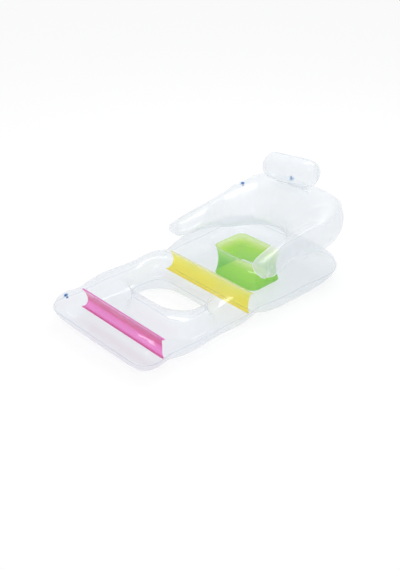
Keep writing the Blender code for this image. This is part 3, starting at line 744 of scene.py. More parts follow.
FOOT_SEAT = ValveSeat(
    "foot_valve",
    "base",
    (-0.2851, -0.6944, 0.14506),
    (0.95163, -0.08728, 0.29458),
    (0.0, 0.9588, 0.28408),
    (-0.30724, -0.27034, 0.91243),
    -0.00114,
)
BACKREST_SEAT = ValveSeat(
    "backrest_valve",
    "backrest",
    (-0.28015, 0.49456, 0.36078),
    (0.99299, -0.02915, 0.11456),
    (0.0, 0.96911, 0.24663),
    (-0.11821, -0.2449, 0.96232),
    -0.00109,
)
HEADREST_SEAT = ValveSeat(
    "headrest_valve",
    "headrest",
    (-0.00991, 0.58332, 0.44457),
    (0.9943, -0.04065, 0.09858),
    (0.0, -0.92449, -0.38119),
    (0.10663, 0.37902, -0.91922),
    -0.0006,
)


def punch(item: bpy.types.Object, seat: ValveSeat, radius: float) -> None:
    """Punches a valve's round hole through a finished sheet."""
    deselect()
    bpy.ops.mesh.primitive_cylinder_add(vertices=48, radius=radius, depth=0.018)
    tool = bpy.context.object
    tool.matrix_world = seat.frame()
    combine(item, tool, "DIFFERENCE")


@dataclass
class PushValve:
    """A push-in valve of soft PVC: a welded flange, a sliding stem, a tethered cap and a flap."""

    hole: float = 0.0062
    flange_radius: float = 0.0140
    flange_thick: float = 0.0010
    collar_radius: float = 0.0072
    collar_length: float = 0.0050
    stem_radius: float = 0.0050
    bore: float = 0.0034
    stem_length: float = 0.0180
    rim_rise: float = 0.0004
    rim_thick: float = 0.0010
    stop_radius: float = 0.0066
    stop_thick: float = 0.0012
    clearance: float = 0.0004
    cap_radius: float = 0.0078
    cap_thick: float = 0.0014
    plug_top: float = 0.0031
    plug_end: float = 0.0020
    plug_length: float = 0.0040
    hinge: float = 0.0110
    strap: float = 0.0040
    flap_radius: float = 0.0046
    flap_thick: float = 0.0005
    gap: float = 0.0003
    around: int = 40

    def turn(self, name: str, outline: list[tuple[float, float]], closed: bool) -> bpy.types.Object:
        """Spins an outline of (radius, height) round the valve's axis.

        Args:
            name: The piece's name.
            outline: Its points, from the outer top down.
            closed: Whether the outline is a ring, clear of the axis.

        Returns:
            The turned piece.
        """
        deselect()
        bpy.ops.mesh.primitive_plane_add(size=0.001, location=(0.0, 0.0, 0.0))
        made = bpy.context.object
        made.name = name
        made.data.name = name
        with editing():
            bpy.ops.mesh.select_mode(type="VERT")
            bpy.ops.mesh.select_all(action="SELECT")
            bpy.ops.mesh.merge(type="CENTER")
            bpy.ops.transform.translate(value=(outline[0][0], 0.0, outline[0][1]))
            for before, after in zip(outline, outline[1:] + (outline[:1] if closed else [])):
                step = (after[0] - before[0], 0.0, after[1] - before[1])
                bpy.ops.mesh.extrude_vertices_move(TRANSFORM_OT_translate={"value": step})
            bpy.ops.mesh.select_all(action="SELECT")
            bpy.ops.mesh.spin(steps=self.around, angle=math.tau, center=(0.0, 0.0, 0.0), axis=(0.0, 0.0, 1.0))
            bpy.ops.mesh.select_all(action="SELECT")
            bpy.ops.mesh.remove_doubles(threshold=0.00002)
            bpy.ops.mesh.normals_make_consistent(inside=False)
        return made

    def add_tab(self, item: bpy.types.Object, near: float, far: float, low: float, high: float) -> None:
        """Joins a flat tab with rounded edges to a turned piece, along the X axis.

        Args:
            item: The turned piece.
            near: Where the tab starts, inside the piece.
            far: Where it ends.
            low: Its underside's height.
            high: Its top's height.
        """
        deselect()
        middle = ((near + far) / 2.0, 0.0, (low + high) / 2.0)
        sides = (abs(far - near), self.strap, high - low)
        bpy.ops.mesh.primitive_cube_add(size=1.0, location=middle, scale=sides)
        tab = bpy.context.object
        bpy.ops.object.transform_apply(location=True, rotation=True, scale=True)
        with editing():
            bpy.ops.mesh.bevel(offset=0.00022, segments=2)
        combine(item, tab, "UNION")

    @staticmethod
    def rounded(radius: float, low: float, high: float, round_off: float) -> list[tuple[float, float]]:
        """A disc's rounded edge, from its top down to its underside."""
        points = []
        for side, level, start in ((1.0, high, 90.0), (-1.0, low, 0.0)):
            for step in range(4):
                turn = math.radians(start - 30.0 * step)
                inset = round_off * (1.0 - math.cos(turn))
                points.append((radius - inset, level - side * round_off * (1.0 - side * math.sin(turn))))
        return points

    def make_flange(self) -> bpy.types.Object:
        """The pale disc under the film, with the socket that holds the stem; its top is at zero."""
        hold = self.stem_radius + self.clearance
        under = -self.flange_thick
        end = under - self.collar_length
        outline = [(hold + 0.0002, 0.0), (self.flange_radius - 0.0004, 0.0), (self.flange_radius, -0.0004)]
        outline += [(self.flange_radius, under + 0.0002), (self.flange_radius - 0.0002, under)]
        outline += [(self.collar_radius + 0.0006, under), (self.collar_radius, under - 0.0006)]
        outline += [(self.collar_radius, end + 0.0003), (self.collar_radius - 0.0003, end)]
        outline += [(hold + 0.0002, end), (hold, end + 0.0002), (hold, -0.0002)]
        return self.turn("valve_flange", outline, True)

    def make_stem(self) -> bpy.types.Object:
        """The blue tube that slides, with its rim over the film, its stop and the strap's root."""
        top = self.rim_rise + self.rim_thick
        end = top - self.stem_length
        outline = [(self.bore + 0.0002, top)] + self.rounded(self.cap_radius, self.rim_rise, top, 0.00035)
        outline += [(self.stem_radius + 0.0003, self.rim_rise), (self.stem_radius, self.rim_rise - 0.0003)]
        stop = end + self.stop_thick
        outline += [(self.stem_radius, stop + 0.0003), (self.stem_radius + 0.0003, stop)]
        outline += self.rounded(self.stop_radius, end, stop, 0.0003)
        outline += [(self.bore + 0.0002, end), (self.bore, end + 0.0002), (self.bore, top - 0.0002)]
        made = self.turn("valve_stem", outline, True)
        self.add_tab(made, self.cap_radius - self.strap / 2.0, self.hinge - self.gap, self.rim_rise, top)
        return made

    def make_cap(self) -> bpy.types.Object:
        """The blue cap, dished on top, with its plug, its strap and a small lip to lift it by."""
        low = self.rim_rise + self.rim_thick + self.gap
        high = low + self.cap_thick
        outline = [(0.0, high - 0.0005), (0.0042, high - 0.0005), (0.0048, high - 0.0003), (0.0052, high)]
        outline += self.rounded(self.cap_radius, low, high, 0.0004)
        outline += [(self.plug_top + 0.0002, low), (self.plug_top, low - 0.0002)]
        tip = low - self.plug_length
        outline += [(self.plug_end + 0.0002, tip + 0.0004), (self.plug_end - 0.0003, tip), (0.0, tip)]
        made = self.turn("valve_cap", outline, False)
        self.add_tab(made, self.cap_radius - self.strap / 2.0, self.hinge, low, high)
        lip = -self.cap_radius + self.strap / 2.0
        self.add_tab(made, lip, -self.hinge + 0.0008, low + 0.0003, high - 0.0002)
        return made

    def make_flap(self) -> bpy.types.Object:
        """The thin pale disc that closes the stem's inner end."""
        high = self.rim_rise + self.rim_thick - self.stem_length - self.gap
        outline = [(0.0, high)] + self.rounded(self.flap_radius, high - self.flap_thick, high, 0.0002)
        return self.turn("valve_flap", outline + [(0.0, high - self.flap_thick)], False)

    def build(self, seats: list[ValveSeat], blue: bpy.types.Material, pale: bpy.types.Material) -> None:
        """Makes one valve, and sets a copy of each of its pieces in every seat.

        Args:
            seats: Where the valves sit.
            blue: The moulding's deep blue.
            pale: The pale, see-through moulding.
        """
        patterns = {
            "flange": (self.make_flange(), pale, "pale_blue_vinyl"),
            "stem": (self.make_stem(), blue, "blue_vinyl"),
            "cap": (self.make_cap(), blue, "blue_vinyl"),
            "flap": (self.make_flap(), pale, "pale_blue_vinyl"),
        }
        for seat in seats:
            for kind, (pattern, finish, slot) in patterns.items():
                deselect()
                made = pattern.copy()
                made.data = pattern.data.copy()
                made.name = f"{seat.name}_{kind}_moulding"
                made.data.name = made.name
                bpy.context.scene.collection.objects.link(made)
                sunk = seat.flange_top if kind == "flange" else 0.0
                made.matrix_world = seat.frame() @ Matrix.Translation((0.0, 0.0, sunk))
                made.select_set(True)
                bpy.context.view_layer.objects.active = made
                bpy.ops.object.transform_apply(location=True, rotation=True, scale=True)
                bpy.ops.object.shade_smooth_by_angle(angle=math.radians(40.0))
                made.data.materials.clear()
                made.data.materials.append(finish)
                prefix = seat.name.replace("_valve", "")
                body = seat.body if kind == "flange" else f"{prefix}_{kind}"
                dress(made, f"{seat.name}_{kind}", body)
        for pattern, _, _ in patterns.values():
            bpy.data.objects.remove(pattern)


@dataclass
class Mattress:
    """The chair's mattress: two sheets welded round the rim and the leg opening, held by three baffles."""

    front_seam: float
    seam_height: float = 0.080
    seat_top: float = 0.195
    half_width: float = 0.355
    foot: float = 0.167
    knee: float = 0.734
    back: float = 1.370
    front_corner: float = 0.075
    back_corner: float = 0.150
    back_spread: float = 0.026
    tail: float = 0.300
    waist_depth: float = 0.008
    waist_reach: float = 0.050
    rim_wave: float = 0.003
    baffle_half_width: float = 0.310
    baffle_height: float = 0.097
    opening_front: float = 0.347
    opening_back: float = 0.577
    opening_half: float = 0.200
    opening_radius: float = 0.080
    loop_front: float = 0.897
    loop_back: float = 1.117
    loop_half: float = 0.150
    loop_radius: float = 0.045
    loop_height: float = 0.160
    plump: dict[str, float] = field(
        default_factory=lambda: {"foot": 0.92, "leg": 1.0, "seat": 1.0, "loop": 0.15, "tail": 0.10}
    )
    inner_lines: int = 28
    outer_lines: int = 20
    rim_lines: int = 12
    rim_gather: Gather = Gather(0.0030, 0.125, 0.190, 11)
    opening_gather: Gather = Gather(0.0010, 0.110, 0.150, 23)

    def seam_half(self, y: float, spread: float = 0.0) -> float:
        """Half the mattress's width at y, with its round corners and its waist at each baffle."""
        front = corner_inset(y + spread, self.front_corner + spread)
        back = corner_inset(self.back + spread - y, self.back_corner + spread)
        waist = sum(
            self.waist_depth * math.exp(-(((y - line) / self.waist_reach) ** 2))
            for line in (self.foot, self.knee)
        )
        wider = self.back_spread * min(max((y - self.knee) / (self.back - self.knee), 0.0), 1.0)
        wave = self.rim_wave * math.sin(y * 2.0 * math.pi / 0.27 - 0.6) * min(max(y, 0.0) / 0.1, 1.0)
        return self.half_width + wider + spread - max(front, back) - waist + wave

    def opening_half_at(self, y: float, inset: float = 0.0) -> float:
        """Half the leg opening's width at y, or of the outline that lies inset inside it."""
        end = min(y - self.opening_front, self.opening_back - y) - inset
        return self.opening_half - inset - corner_inset(end, self.opening_radius - inset)

    def loop_half_at(self, y: float) -> float:
        """Half the seat baffle's width at y."""
        end = min(y - self.loop_front, self.loop_back - y)
        return self.loop_half - corner_inset(end, self.loop_radius)

    def inner_line(self, y: float) -> float:
        """The grid line that follows the side of the leg opening, and further back the seat baffle's."""
        if self.opening_front <= y <= self.opening_back:
            return self.opening_half_at(y)
        if self.loop_front <= y <= self.loop_back:
            return self.loop_half_at(y)
        narrow = self.opening_half - self.opening_radius
        tight = self.loop_half - self.loop_radius
        stops = (
            (-FLANGE, self.opening_half),
            (self.foot, self.opening_half),
            (self.opening_front, narrow),
            (self.opening_back, narrow),
            (self.knee, self.opening_half),
            (self.loop_front, tight),
            (self.loop_back, tight),
            (self.back + FLANGE, self.loop_half),
        )
        return float(np.interp(y, [stop[0] for stop in stops], [stop[1] for stop in stops]))

    def rows(self) -> list[float]:
        """The Y of each grid row, from the front flange to the back flange."""
        lines = [-FLANGE, 0.0]
        lines += spaced(0.0, self.front_corner, 20, Easing.START)
        lines += spaced(self.front_corner, self.foot, 22)
        lines += spaced(self.foot, self.opening_front, 44, Easing.BOTH)
        radius = self.opening_radius - FLANGE
        corner = [FLANGE * share for share in (0.06, 0.2, 0.4, 0.66, 1.0)]
        corner += [FLANGE + (1.0 - math.cos(step * math.pi / 36.0)) * radius for step in range(1, 19)]
        lines += [self.opening_front + reach for reach in corner]
        lines += spaced(self.opening_front + self.opening_radius, self.opening_back - self.opening_radius, 16)
        lines += [self.opening_back - reach for reach in reversed(corner[:-1])] + [self.opening_back]
        lines += spaced(self.opening_back, self.knee, 38, Easing.BOTH)
        lines += spaced(self.knee, self.loop_front, 38, Easing.BOTH)
        corner = [(1.0 - math.cos(step * math.pi / 20.0)) * self.loop_radius for step in range(1, 11)]
        lines += [self.loop_front + reach for reach in corner]
        lines += spaced(self.loop_front + self.loop_radius, self.loop_back - self.loop_radius, 28)
        lines += [self.loop_back - reach for reach in reversed(corner[:-1])] + [self.loop_back]
        lines += spaced(self.loop_back, self.back - self.back_corner, 22)
        lines += spaced(self.back - self.back_corner, self.back, 28, Easing.END)
        return lines + [self.back + FLANGE]

    def columns(self, y: float) -> list[float]:
        """The X of each grid column from the middle to the flange, in the row at y."""
        inner = self.inner_line(y)
        seam = self.seam_half(min(max(y, 0.0), self.back))
        widest = self.seam_half(self.knee) - self.opening_half
        tip_share = (self.baffle_half_width - self.opening_half) / widest
        tip = inner + tip_share * (seam - inner)
        middle = [0.0] + spaced(0.0, inner, self.inner_lines)
        if self.opening_front + FLANGE <= y <= self.opening_back - FLANGE:
            inset = self.opening_half_at(y, FLANGE)
            middle = [0.0] + spaced(0.0, inset, self.inner_lines - 1) + [inner]
        outer = spaced(inner, tip, self.outer_lines) + spaced(tip, seam, self.rim_lines, Easing.END)
        return middle + outer + [self.seam_half(y, FLANGE)]

    def plan(self) -> tuple[np.ndarray, np.ndarray, np.ndarray, np.ndarray]:
        """Lays the mattress out flat.

        Returns:
            The points, the faces cut away for the leg opening, the welded points and their rise.
        """
        rows = self.rows()
        half = len(self.columns(0.0)) - 1
        flat = np.zeros((len(rows), 2 * half + 1, 2))
        held = np.zeros(flat.shape[:2], bool)
        rise = np.zeros(flat.shape[:2])
        for number, y in enumerate(rows):
            line = np.array(self.columns(y))
            flat[number, half:, 0] = line
            flat[number, :half, 0] = -line[:0:-1]
            flat[number, :, 1] = y
            away = np.abs(np.arange(-half, half + 1))
            inside = away <= self.inner_lines
            if number <= 1 or number >= len(rows) - 2:
                held[number] = True
            held[number, away >= half - 1] = True
            if self.opening_front <= y <= self.opening_back:
                held[number, inside] = True
            if y in (self.foot, self.knee):
                welded = np.abs(flat[number, :, 0]) <= self.baffle_half_width + WELD_GAP
                held[number, welded] = True
                rise[number, welded] = self.baffle_height / 2.0
            if self.loop_front <= y <= self.loop_back:
                ends = y in (self.loop_front, self.loop_back)
                welded = inside if ends else away == self.inner_lines
                held[number, welded] = True
                rise[number, welded] = self.loop_height - self.seam_height
        middle = (flat[:-1, :-1] + flat[1:, 1:]) / 2.0
        place = middle[..., 1]
        within = (place > self.opening_front + FLANGE) & (place < self.opening_back - FLANGE)
        number = np.arange(-half, half)
        inward = np.maximum(np.abs(number), np.abs(number + 1)) < self.inner_lines
        return flat, within & inward[None, :], held, rise

    def pressure(self, flat: np.ndarray) -> np.ndarray:
        """The share of the full pressure that lifts each face."""
        middle = (flat[:-1, :-1] + flat[1:, 1:]) / 2.0
        x, y = np.abs(middle[..., 0]), middle[..., 1]
        share = np.where(y < self.foot, self.plump["foot"], self.plump["leg"])
        tail = np.clip((y - self.back) / self.tail + 1.0, 0.0, 1.0)
        seat = self.plump["seat"] + tail * (self.plump["tail"] - self.plump["seat"])
        share = np.where(y > self.knee, seat, share)
        loop = np.vectorize(self.loop_half_at)(np.clip(y, self.loop_front, self.loop_back))
        inside = (y > self.loop_front) & (y < self.loop_back) & (x < loop)
        return np.where(inside, self.plump["loop"], share)

    def rim_line(self) -> np.ndarray:
        """The rim's weld in the flat plan, once round from the middle of the front."""
        ys = [0.0] + spaced(0.0, self.front_corner, 24, Easing.START)
        ys += spaced(self.front_corner, self.back - self.back_corner, 280)
        ys += spaced(self.back - self.back_corner, self.back, 60, Easing.END)
        right = [(self.seam_half(y), y) for y in ys]
        front = [(x, 0.0) for x in spaced(0.0, right[0][0], 60)[:-1]]
        back = [(x, self.back) for x in spaced(right[-1][0], 0.0, 60)]
        half = [(0.0, 0.0)] + front + right + back
        return np.array(half + [(-x, y) for x, y in reversed(half[1:-1])])

    def opening_line(self) -> np.ndarray:
        """The leg opening's weld in the flat plan, once round."""
        turned = self.opening_front + self.opening_radius
        ys = [self.opening_front] + spaced(self.opening_front, turned, 24, Easing.START)
        ys += spaced(ys[-1], self.opening_back - self.opening_radius, 20)
        ys += spaced(self.opening_back - self.opening_radius, self.opening_back, 24, Easing.END)
        right = [(self.opening_half_at(y), y) for y in ys]
        front = [(x, self.opening_front) for x in spaced(0.0, right[0][0], 24)[:-1]]
        back = [(x, self.opening_back) for x in spaced(right[-1][0], 0.0, 24)]
        half = [(0.0, self.opening_front)] + front + right + back
        return np.array(half + [(-x, y) for x, y in reversed(half[1:-1])])

    def welds(self, flat: np.ndarray) -> np.ndarray:
        """How much of a weld each point of the flat plan lies on."""
        points = flat.reshape(-1, 2)
        x, y = np.abs(points[:, 0]), points[:, 1]
        marks = np.zeros(len(points))
        for line in (self.rim_line(), self.opening_line()):
            away = nearest_on(points, line)[0]
            marks = np.maximum(marks, 1.0 - smooth_step(away, 0.002, 0.006))
        beyond = (x > np.vectorize(self.seam_half)(np.clip(y, 0.0, self.back))) | (y < 0.0) | (y > self.back)
        marks = np.where(beyond, 1.0, marks)
        for line in (self.foot, self.knee):
            strip = (1.0 - smooth_step(np.abs(y - line), 0.003, 0.008)) * (x < self.baffle_half_width)
            marks = np.maximum(marks, strip)
        return marks.reshape(flat.shape[:2])

    def gathers(self, flat: np.ndarray) -> np.ndarray:
        """How deep the film sinks in the furrows along its welds and in the creases at the baffles' ends."""
        points = flat.reshape(-1, 2)
        x, y = np.abs(points[:, 0]), points[:, 1]
        rim = self.rim_line()
        away, run, number = nearest_on(points, rim)
        places = rim[number]
        corners = np.full(len(points), 0.30)
        for spot_x, spot_y, spread, share in (
            (self.half_width, 0.0, 0.11, 0.55),
            (self.half_width + self.back_spread, self.back, 0.20, 0.70),
            (self.half_width, self.foot, 0.07, 0.65),
            (self.half_width, self.knee, 0.08, 0.65),
        ):
            reach = np.hypot(np.abs(places[:, 0]) - spot_x, places[:, 1] - spot_y)
            corners = np.maximum(corners, 0.30 + share * np.exp(-((reach / spread) ** 2)))
        sunk = self.rim_gather.furrows(run, away, corners)
        hole = self.opening_line()
        away, run, number = nearest_on(points, hole)
        reach = np.hypot(
            np.abs(hole[number][:, 0]) - self.opening_half,
            np.minimum(hole[number][:, 1] - self.opening_front, self.opening_back - hole[number][:, 1]),
        )
        sunk = sunk + self.opening_gather.furrows(run, away, 0.30 + 0.70 * np.exp(-((reach / 0.085) ** 2)))
        folded = np.stack([x, y], axis=1)
        for line in (self.foot, self.knee):
            tip = self.baffle_half_width + 0.006
            sunk = sunk + creased(folded, (tip, line), (tip + 0.036, line + 0.004), 0.0030, 0.007)
            sunk = sunk + creased(folded, (tip, line + 0.012), (tip - 0.020, line + 0.085), 0.0024, 0.012)
            sunk = sunk + creased(folded, (tip, line - 0.012), (tip - 0.016, line - 0.080), 0.0024, 0.012)
            near = (np.abs(y - line) < 0.045) & (x < tip + 0.002)
            clear = smooth_step(np.abs(y - line), 0.012, 0.034)
            sunk = np.where(near, sunk * clear, sunk)
        return sunk.reshape(flat.shape[:2])

    def nets(self) -> tuple[np.ndarray, np.ndarray, np.ndarray, np.ndarray]:
        """The top and bottom sheets' points, the faces cut away, and the welds' marks."""
        flat, gone, held, fixed = self.plan()
        rise = inflate(flat, gone, held, fixed, self.pressure(flat))
        sunk = np.where(held, 0.0, self.gathers(flat))
        sunk = np.minimum(sunk, 0.5 * rise)
        made = []
        for side in Side:
            height = self.seam_height + side.value * (rise + LIFT)
            height = np.where(held & (fixed > 0.0), self.seam_height + side.value * fixed, height)
            points = np.dstack([flat[..., 0], flat[..., 1] + self.front_seam, height])
            points = points - sunk[..., None] * outward_of(points, side is Side.REAR)
            height = points[..., 2]
            soft = self.seat_top - 0.008
            height = np.where(height > soft, soft + 0.008 * (1.0 - np.exp(-(height - soft) / 0.008)), height)
            ground = 0.003
            points[..., 2] = np.where(height < ground, ground * np.exp((height - ground) / ground), height)
            made.append(points)
        return made[0], made[1], gone, self.welds(flat)

    def build(self, film: bpy.types.Material, above: BVHTree, seat: ValveSeat, hole: float) -> None:
        """Makes both sheets.

        Args:
            film: The clear film.
            above: The collar's rear film, which lies on the top sheet.
            seat: Where the foot's valve sits.
            hole: The radius of the valve's hole.
        """
        top, bottom, gone, weld = self.nets()
        top = press_under(top, above)
        top = seat.flatten(top)
        upper = sheet_object("mattress_top", top, gone, False, film, weld)
        thicken(upper)
        punch(upper, seat, hole)
        dress(upper, "base_top_sheet", "base")
        lower = sheet_object("mattress_bottom", bottom, gone, True, film, weld)
        thicken(lower)
        dress(lower, "base_bottom_sheet", "base")


def press_under(net: np.ndarray, above: BVHTree) -> np.ndarray:
    """Lowers a sheet's points to lie just under what rests on it.

    Args:
        net: The sheet's points.
        above: What rests on it.

    Returns:
        The points, none higher than what lies over them.
    """
    pressed = net.copy()
    flat = pressed.reshape(-1, 3)
    for number, place in enumerate(flat):
        if place[2] < 0.15:
            continue
        hit = above.ray_cast(Vector((place[0], place[1], 0.1)), Vector((0.0, 0.0, 1.0)))[0]
        if hit and hit.z - FILM - WELD_GAP < place[2]:
            flat[number, 2] = hit.z - FILM - WELD_GAP
    return pressed


@dataclass
class StraightBaffle:
    """A tinted strip across the mattress, flanged top and bottom, with a concave bite at each end."""

    name: str
    line: float
    lean: float
    front_seam: float
    seam_height: float = 0.080
    half_width: float = 0.310
    height: float = 0.097
    bite: float = 0.030
    bow: float = 0.012
    flange: float = 0.010
    columns: int = 120
    steps: int = 18

    def net(self) -> np.ndarray:
        """The strip's points, from its bottom flange to its top flange."""
        inset = FILM + WELD_GAP
        low = self.seam_height - self.height / 2.0
        high = self.seam_height + self.height / 2.0
        section = [(-self.lean - self.flange, low + inset), (-self.lean - self.flange / 2.0, low + inset)]
        for step in range(self.steps + 1):
            share = step / self.steps
            offset = -self.lean * (1.0 - share) + self.bow * math.sin(math.pi * share)
            section.append((offset, low + inset + share * (high - low - 2.0 * inset)))
        section += [(self.flange / 2.0, high - inset), (self.flange, high - inset)]
        across = 2.0 * np.arange(self.columns + 1) / self.columns - 1.0
        net = np.zeros((len(section), self.columns + 1, 3))
        for row, (offset, height) in enumerate(section):
            level = (height - low) / (high - low)
            bite = self.bite * math.sqrt(max(1.0 - (2.0 * level - 1.0) ** 2, 0.0))
            net[row, :, 0] = across * (self.half_width - self.flange / 2.0 - bite)
            net[row, :, 1] = self.front_seam + self.line + offset
            net[row, :, 2] = height
        return net

    def build(self, film: bpy.types.Material, slot: str) -> None:
        """Makes the strip."""
        net = self.net()
        share = np.clip((net[..., 2] - net[0, 0, 2]) / (net[-1, 0, 2] - net[0, 0, 2]), 0.0, 1.0)
        weld = np.maximum(share < 0.002, share > 0.998).astype(float)
        made = sheet_object(self.name + "_strip", net, None, False, film, weld, share)
        thicken(made)
        dress(made, self.name, "base")


@dataclass
class LoopBaffle:
    """The seat's closed baffle: an upright band whose rims flare out to their welds."""

    front_seam: float
    front: float = 0.897
    back: float = 1.117
    half_width: float = 0.150
    radius: float = 0.045
    height: float = 0.160
    flare: float = 0.014
    per_corner: int = 14
    steps: int = 24

    def outline(self) -> list[tuple[float, float, float, float]]:
        """Points and outward normals round the loop, anticlockwise from above, the first one twice."""
        spots = []
        corners = (
            (self.half_width - self.radius, self.back - self.radius, 0.0),
            (-self.half_width + self.radius, self.back - self.radius, 90.0),
            (-self.half_width + self.radius, self.front + self.radius, 180.0),
            (self.half_width - self.radius, self.front + self.radius, 270.0),
        )
        for x, y, start in corners:
            for step in range(self.per_corner + 1):
                turn = math.radians(start + 90.0 * step / self.per_corner)
                out = (math.cos(turn), math.sin(turn))
                spots.append((x + self.radius * out[0], y + self.radius * out[1], out[0], out[1]))
        fine = []
        for first, second in zip(spots, spots[1:] + spots[:1]):
            reach = math.hypot(second[0] - first[0], second[1] - first[1])
            pieces = max(round(reach / 0.006), 1)
            for step in range(pieces):
                share = step / pieces
                fine.append(tuple(a + share * (b - a) for a, b in zip(first, second)))
        return fine + fine[:1]

    def build(self, film: bpy.types.Material) -> None:
        """Makes the band and closes it."""
        spots = self.outline()
        low = 2.0 * (FILM + WELD_GAP)
        high = self.height - FILM - WELD_GAP
        net = np.zeros((self.steps + 1, len(spots), 3))
        for row in range(self.steps + 1):
            share = row / self.steps
            out = self.flare * ((2.0 * share - 1.0) ** 2 - 1.0)
            for column, (x, y, nx, ny) in enumerate(spots):
                net[row, column] = (x + out * nx, self.front_seam + y + out * ny, low + share * (high - low))
        share = (net[..., 2] - low) / (high - low)
        weld = np.maximum(1.0 - smooth_step(share, 0.0, 0.06), smooth_step(share, 0.94, 1.0))
        made = sheet_object("seat_baffle_band", net, None, False, film, weld, share)
        with editing():
            bpy.ops.mesh.remove_doubles(threshold=0.00005)
            bpy.ops.mesh.normals_make_consistent(inside=False)
        thicken(made)
        dress(made, "seat_baffle", "base")


@dataclass
class Collar:
    """The backrest: a bent tube of film that lies on the seat, from one arm's tip round to the other's.

    A station gives the crest weld's place across, along and up, the inner weld's, and the two half depths.
    """

    front_seam: float
    seat: float
    half_span: float = 0.345
    reach: float = 0.611
    tip: float = 0.778
    lift: float = 0.027
    half_height: float = 0.124
    half_depth: float = 0.131
    step: float = 0.0042
    across: int = 46
    gather: Gather = Gather(0.0034, 0.120, 0.190, 37)
    stations: tuple[tuple[float, ...], ...] = (
        (0.000, 1.151, 1.341, 0.000, 0.761, 0.148, 0.897, 1.323),
        (0.419, 1.147, 1.336, 0.180, 0.736, 0.148, 0.808, 1.397),
        (0.813, 1.009, 1.394, 0.336, 0.658, 0.148, 0.602, 1.120),
        (0.923, 0.769, 1.202, 0.464, 0.543, 0.148, 0.424, 0.870),
        (0.876, 0.609, 1.144, 0.568, 0.429, 0.340, 0.249, 0.640),
        (0.852, 0.444, 1.045, 0.664, 0.347, 0.522, 0.229, 0.503),
        (0.852, 0.253, 0.933, 0.758, 0.247, 0.415, 0.439, 0.439),
        (0.898, 0.095, 0.729, 0.812, 0.083, 0.041, 0.501, 0.460),
        (0.933, 0.048, 0.608, 0.869, 0.014, 0.349, 0.400, 0.300),
        (1.008, 0.009, 0.385, 0.990, -0.009, 1.013, 0.000, 0.000),
    )

    def smooth_rows(self) -> list[list[float]]:
        """The stations read from a smooth curve, from the middle of the back to an arm's tip."""
        rows = np.array(self.stations)
        padded = np.vstack([2.0 * rows[0] - rows[1], rows, 2.0 * rows[-1] - rows[-2]])
        even = [1, 2, 4, 5, 6, 7]
        padded[0, even] = rows[1, even]
        fine = []
        for number in range(len(rows) - 1):
            a, b, c, d = padded[number : number + 4]
            steps = max(round(float(np.hypot(c[0] - b[0], c[1] - b[1])) * self.reach / self.step), 8)
            for step in range(steps):
                t = step / steps
                bend = (2.0 * a - 5.0 * b + 4.0 * c - d) * t * t + (3.0 * b - a - 3.0 * c + d) * t**3
                fine.append(0.5 * (2.0 * b + (c - a) * t + bend))
        return [[float(value) for value in row] for row in fine + [rows[-1]]]

    def sections(self) -> list[tuple[Vector, float, tuple[float, float], Vector, Vector, Vector]]:
        """Each section's core, half height, two half depths and axes, from the left tip to the right one."""
        half = self.smooth_rows()
        seams = []
        for side in (-1.0, 1.0):
            for row in half[::-1] if side < 0 else half[1:]:
                ends = []
                for across, along, height, rise in ((*row[0:3], self.half_height), (*row[3:6], self.lift)):
                    y = self.front_seam + self.tip + along * self.reach
                    ends.append(Vector((side * across * self.half_span, y, self.seat + height * rise)))
                depths = (max(row[6], 0.0) * self.half_depth, max(row[7], 0.0) * self.half_depth)
                seams.append((ends[0], ends[1], depths))
        placed = []
        for number, (crest, inner, depths) in enumerate(seams):
            before = seams[max(number - 1, 0)]
            after = seams[min(number + 1, len(seams) - 1)]
            along = after[0] + after[1] - before[0] - before[1]
            along.z = 0.0
            along.normalize()
            upward = (crest - inner).normalized()
            facing = along.cross(upward).normalized()
            core, tall = (crest + inner) / 2.0, (crest - inner).length / 2.0
            placed.append((core, tall, depths, upward, facing, along))
        return placed

    def net(self, side: Side) -> np.ndarray:
        """One sheet's points: a row for each section, across from the inner weld to the crest's."""
        sections = self.sections()
        rows = len(sections) + 1
        net = np.zeros((rows + 1, self.across + 3, 3))
        lanes = [min(max(column - 1, 0), self.across) for column in range(self.across + 3)]
        turns = [math.pi * lane / self.across for lane in lanes]
        for row in range(rows + 1):
            core, tall, depths, upward, facing, along = sections[min(max(row - 1, 0), len(sections) - 1)]
            depth = depths[0] if side is Side.FRONT else depths[1]
            for column, turn in enumerate(turns):
                reach = -tall * math.cos(turn)
                if column == 0:
                    reach -= FLANGE
                if column == self.across + 2:
                    reach += FLANGE
                place = core + reach * upward + side.value * (depth * math.sin(turn) + LIFT) * facing
                if row == 0:
                    place = place - FLANGE * along
                if row == rows:
                    place = place + FLANGE * along
                net[row, column] = place
        net = net - self.gathers(net, side)[..., None] * outward_of(net, side is Side.FRONT)
        floor = self.seat + WELD_GAP + (LIFT + FILM if side is Side.FRONT else 0.0)
        net[..., 2] = np.maximum(net[..., 2], floor)
        return net

    def gathers(self, net: np.ndarray, side: Side) -> np.ndarray:
        """How deep a sheet sinks in the furrows along its two welds and in the folds of its inner corners."""
        steps = np.linalg.norm(np.diff(net, axis=1), axis=2)
        away = np.concatenate([np.zeros((len(net), 1)), np.cumsum(steps, axis=1)], axis=1)
        sunk = np.zeros(net.shape[:2])
        bend = np.abs(net[:, 1, 0]) / self.half_span
        corner = np.exp(-(((bend - 0.62) / 0.22) ** 2))
        for column, tight in ((1, 0.25 + 0.75 * corner), (self.across + 1, 0.25 + 0.45 * corner)):
            run = np.repeat(along_line(net[:, column])[:, None], net.shape[1], axis=1)
            apart = np.abs(away - away[:, column : column + 1])
            furrow = replace(self.gather, seed=self.gather.seed + column)
            sunk += furrow.furrows(run, apart, np.repeat(tight[:, None], net.shape[1], axis=1))
        room = np.minimum(away, away[:, -1:] - away)
        return np.minimum(sunk, 0.12 * room) * (room > FLANGE)

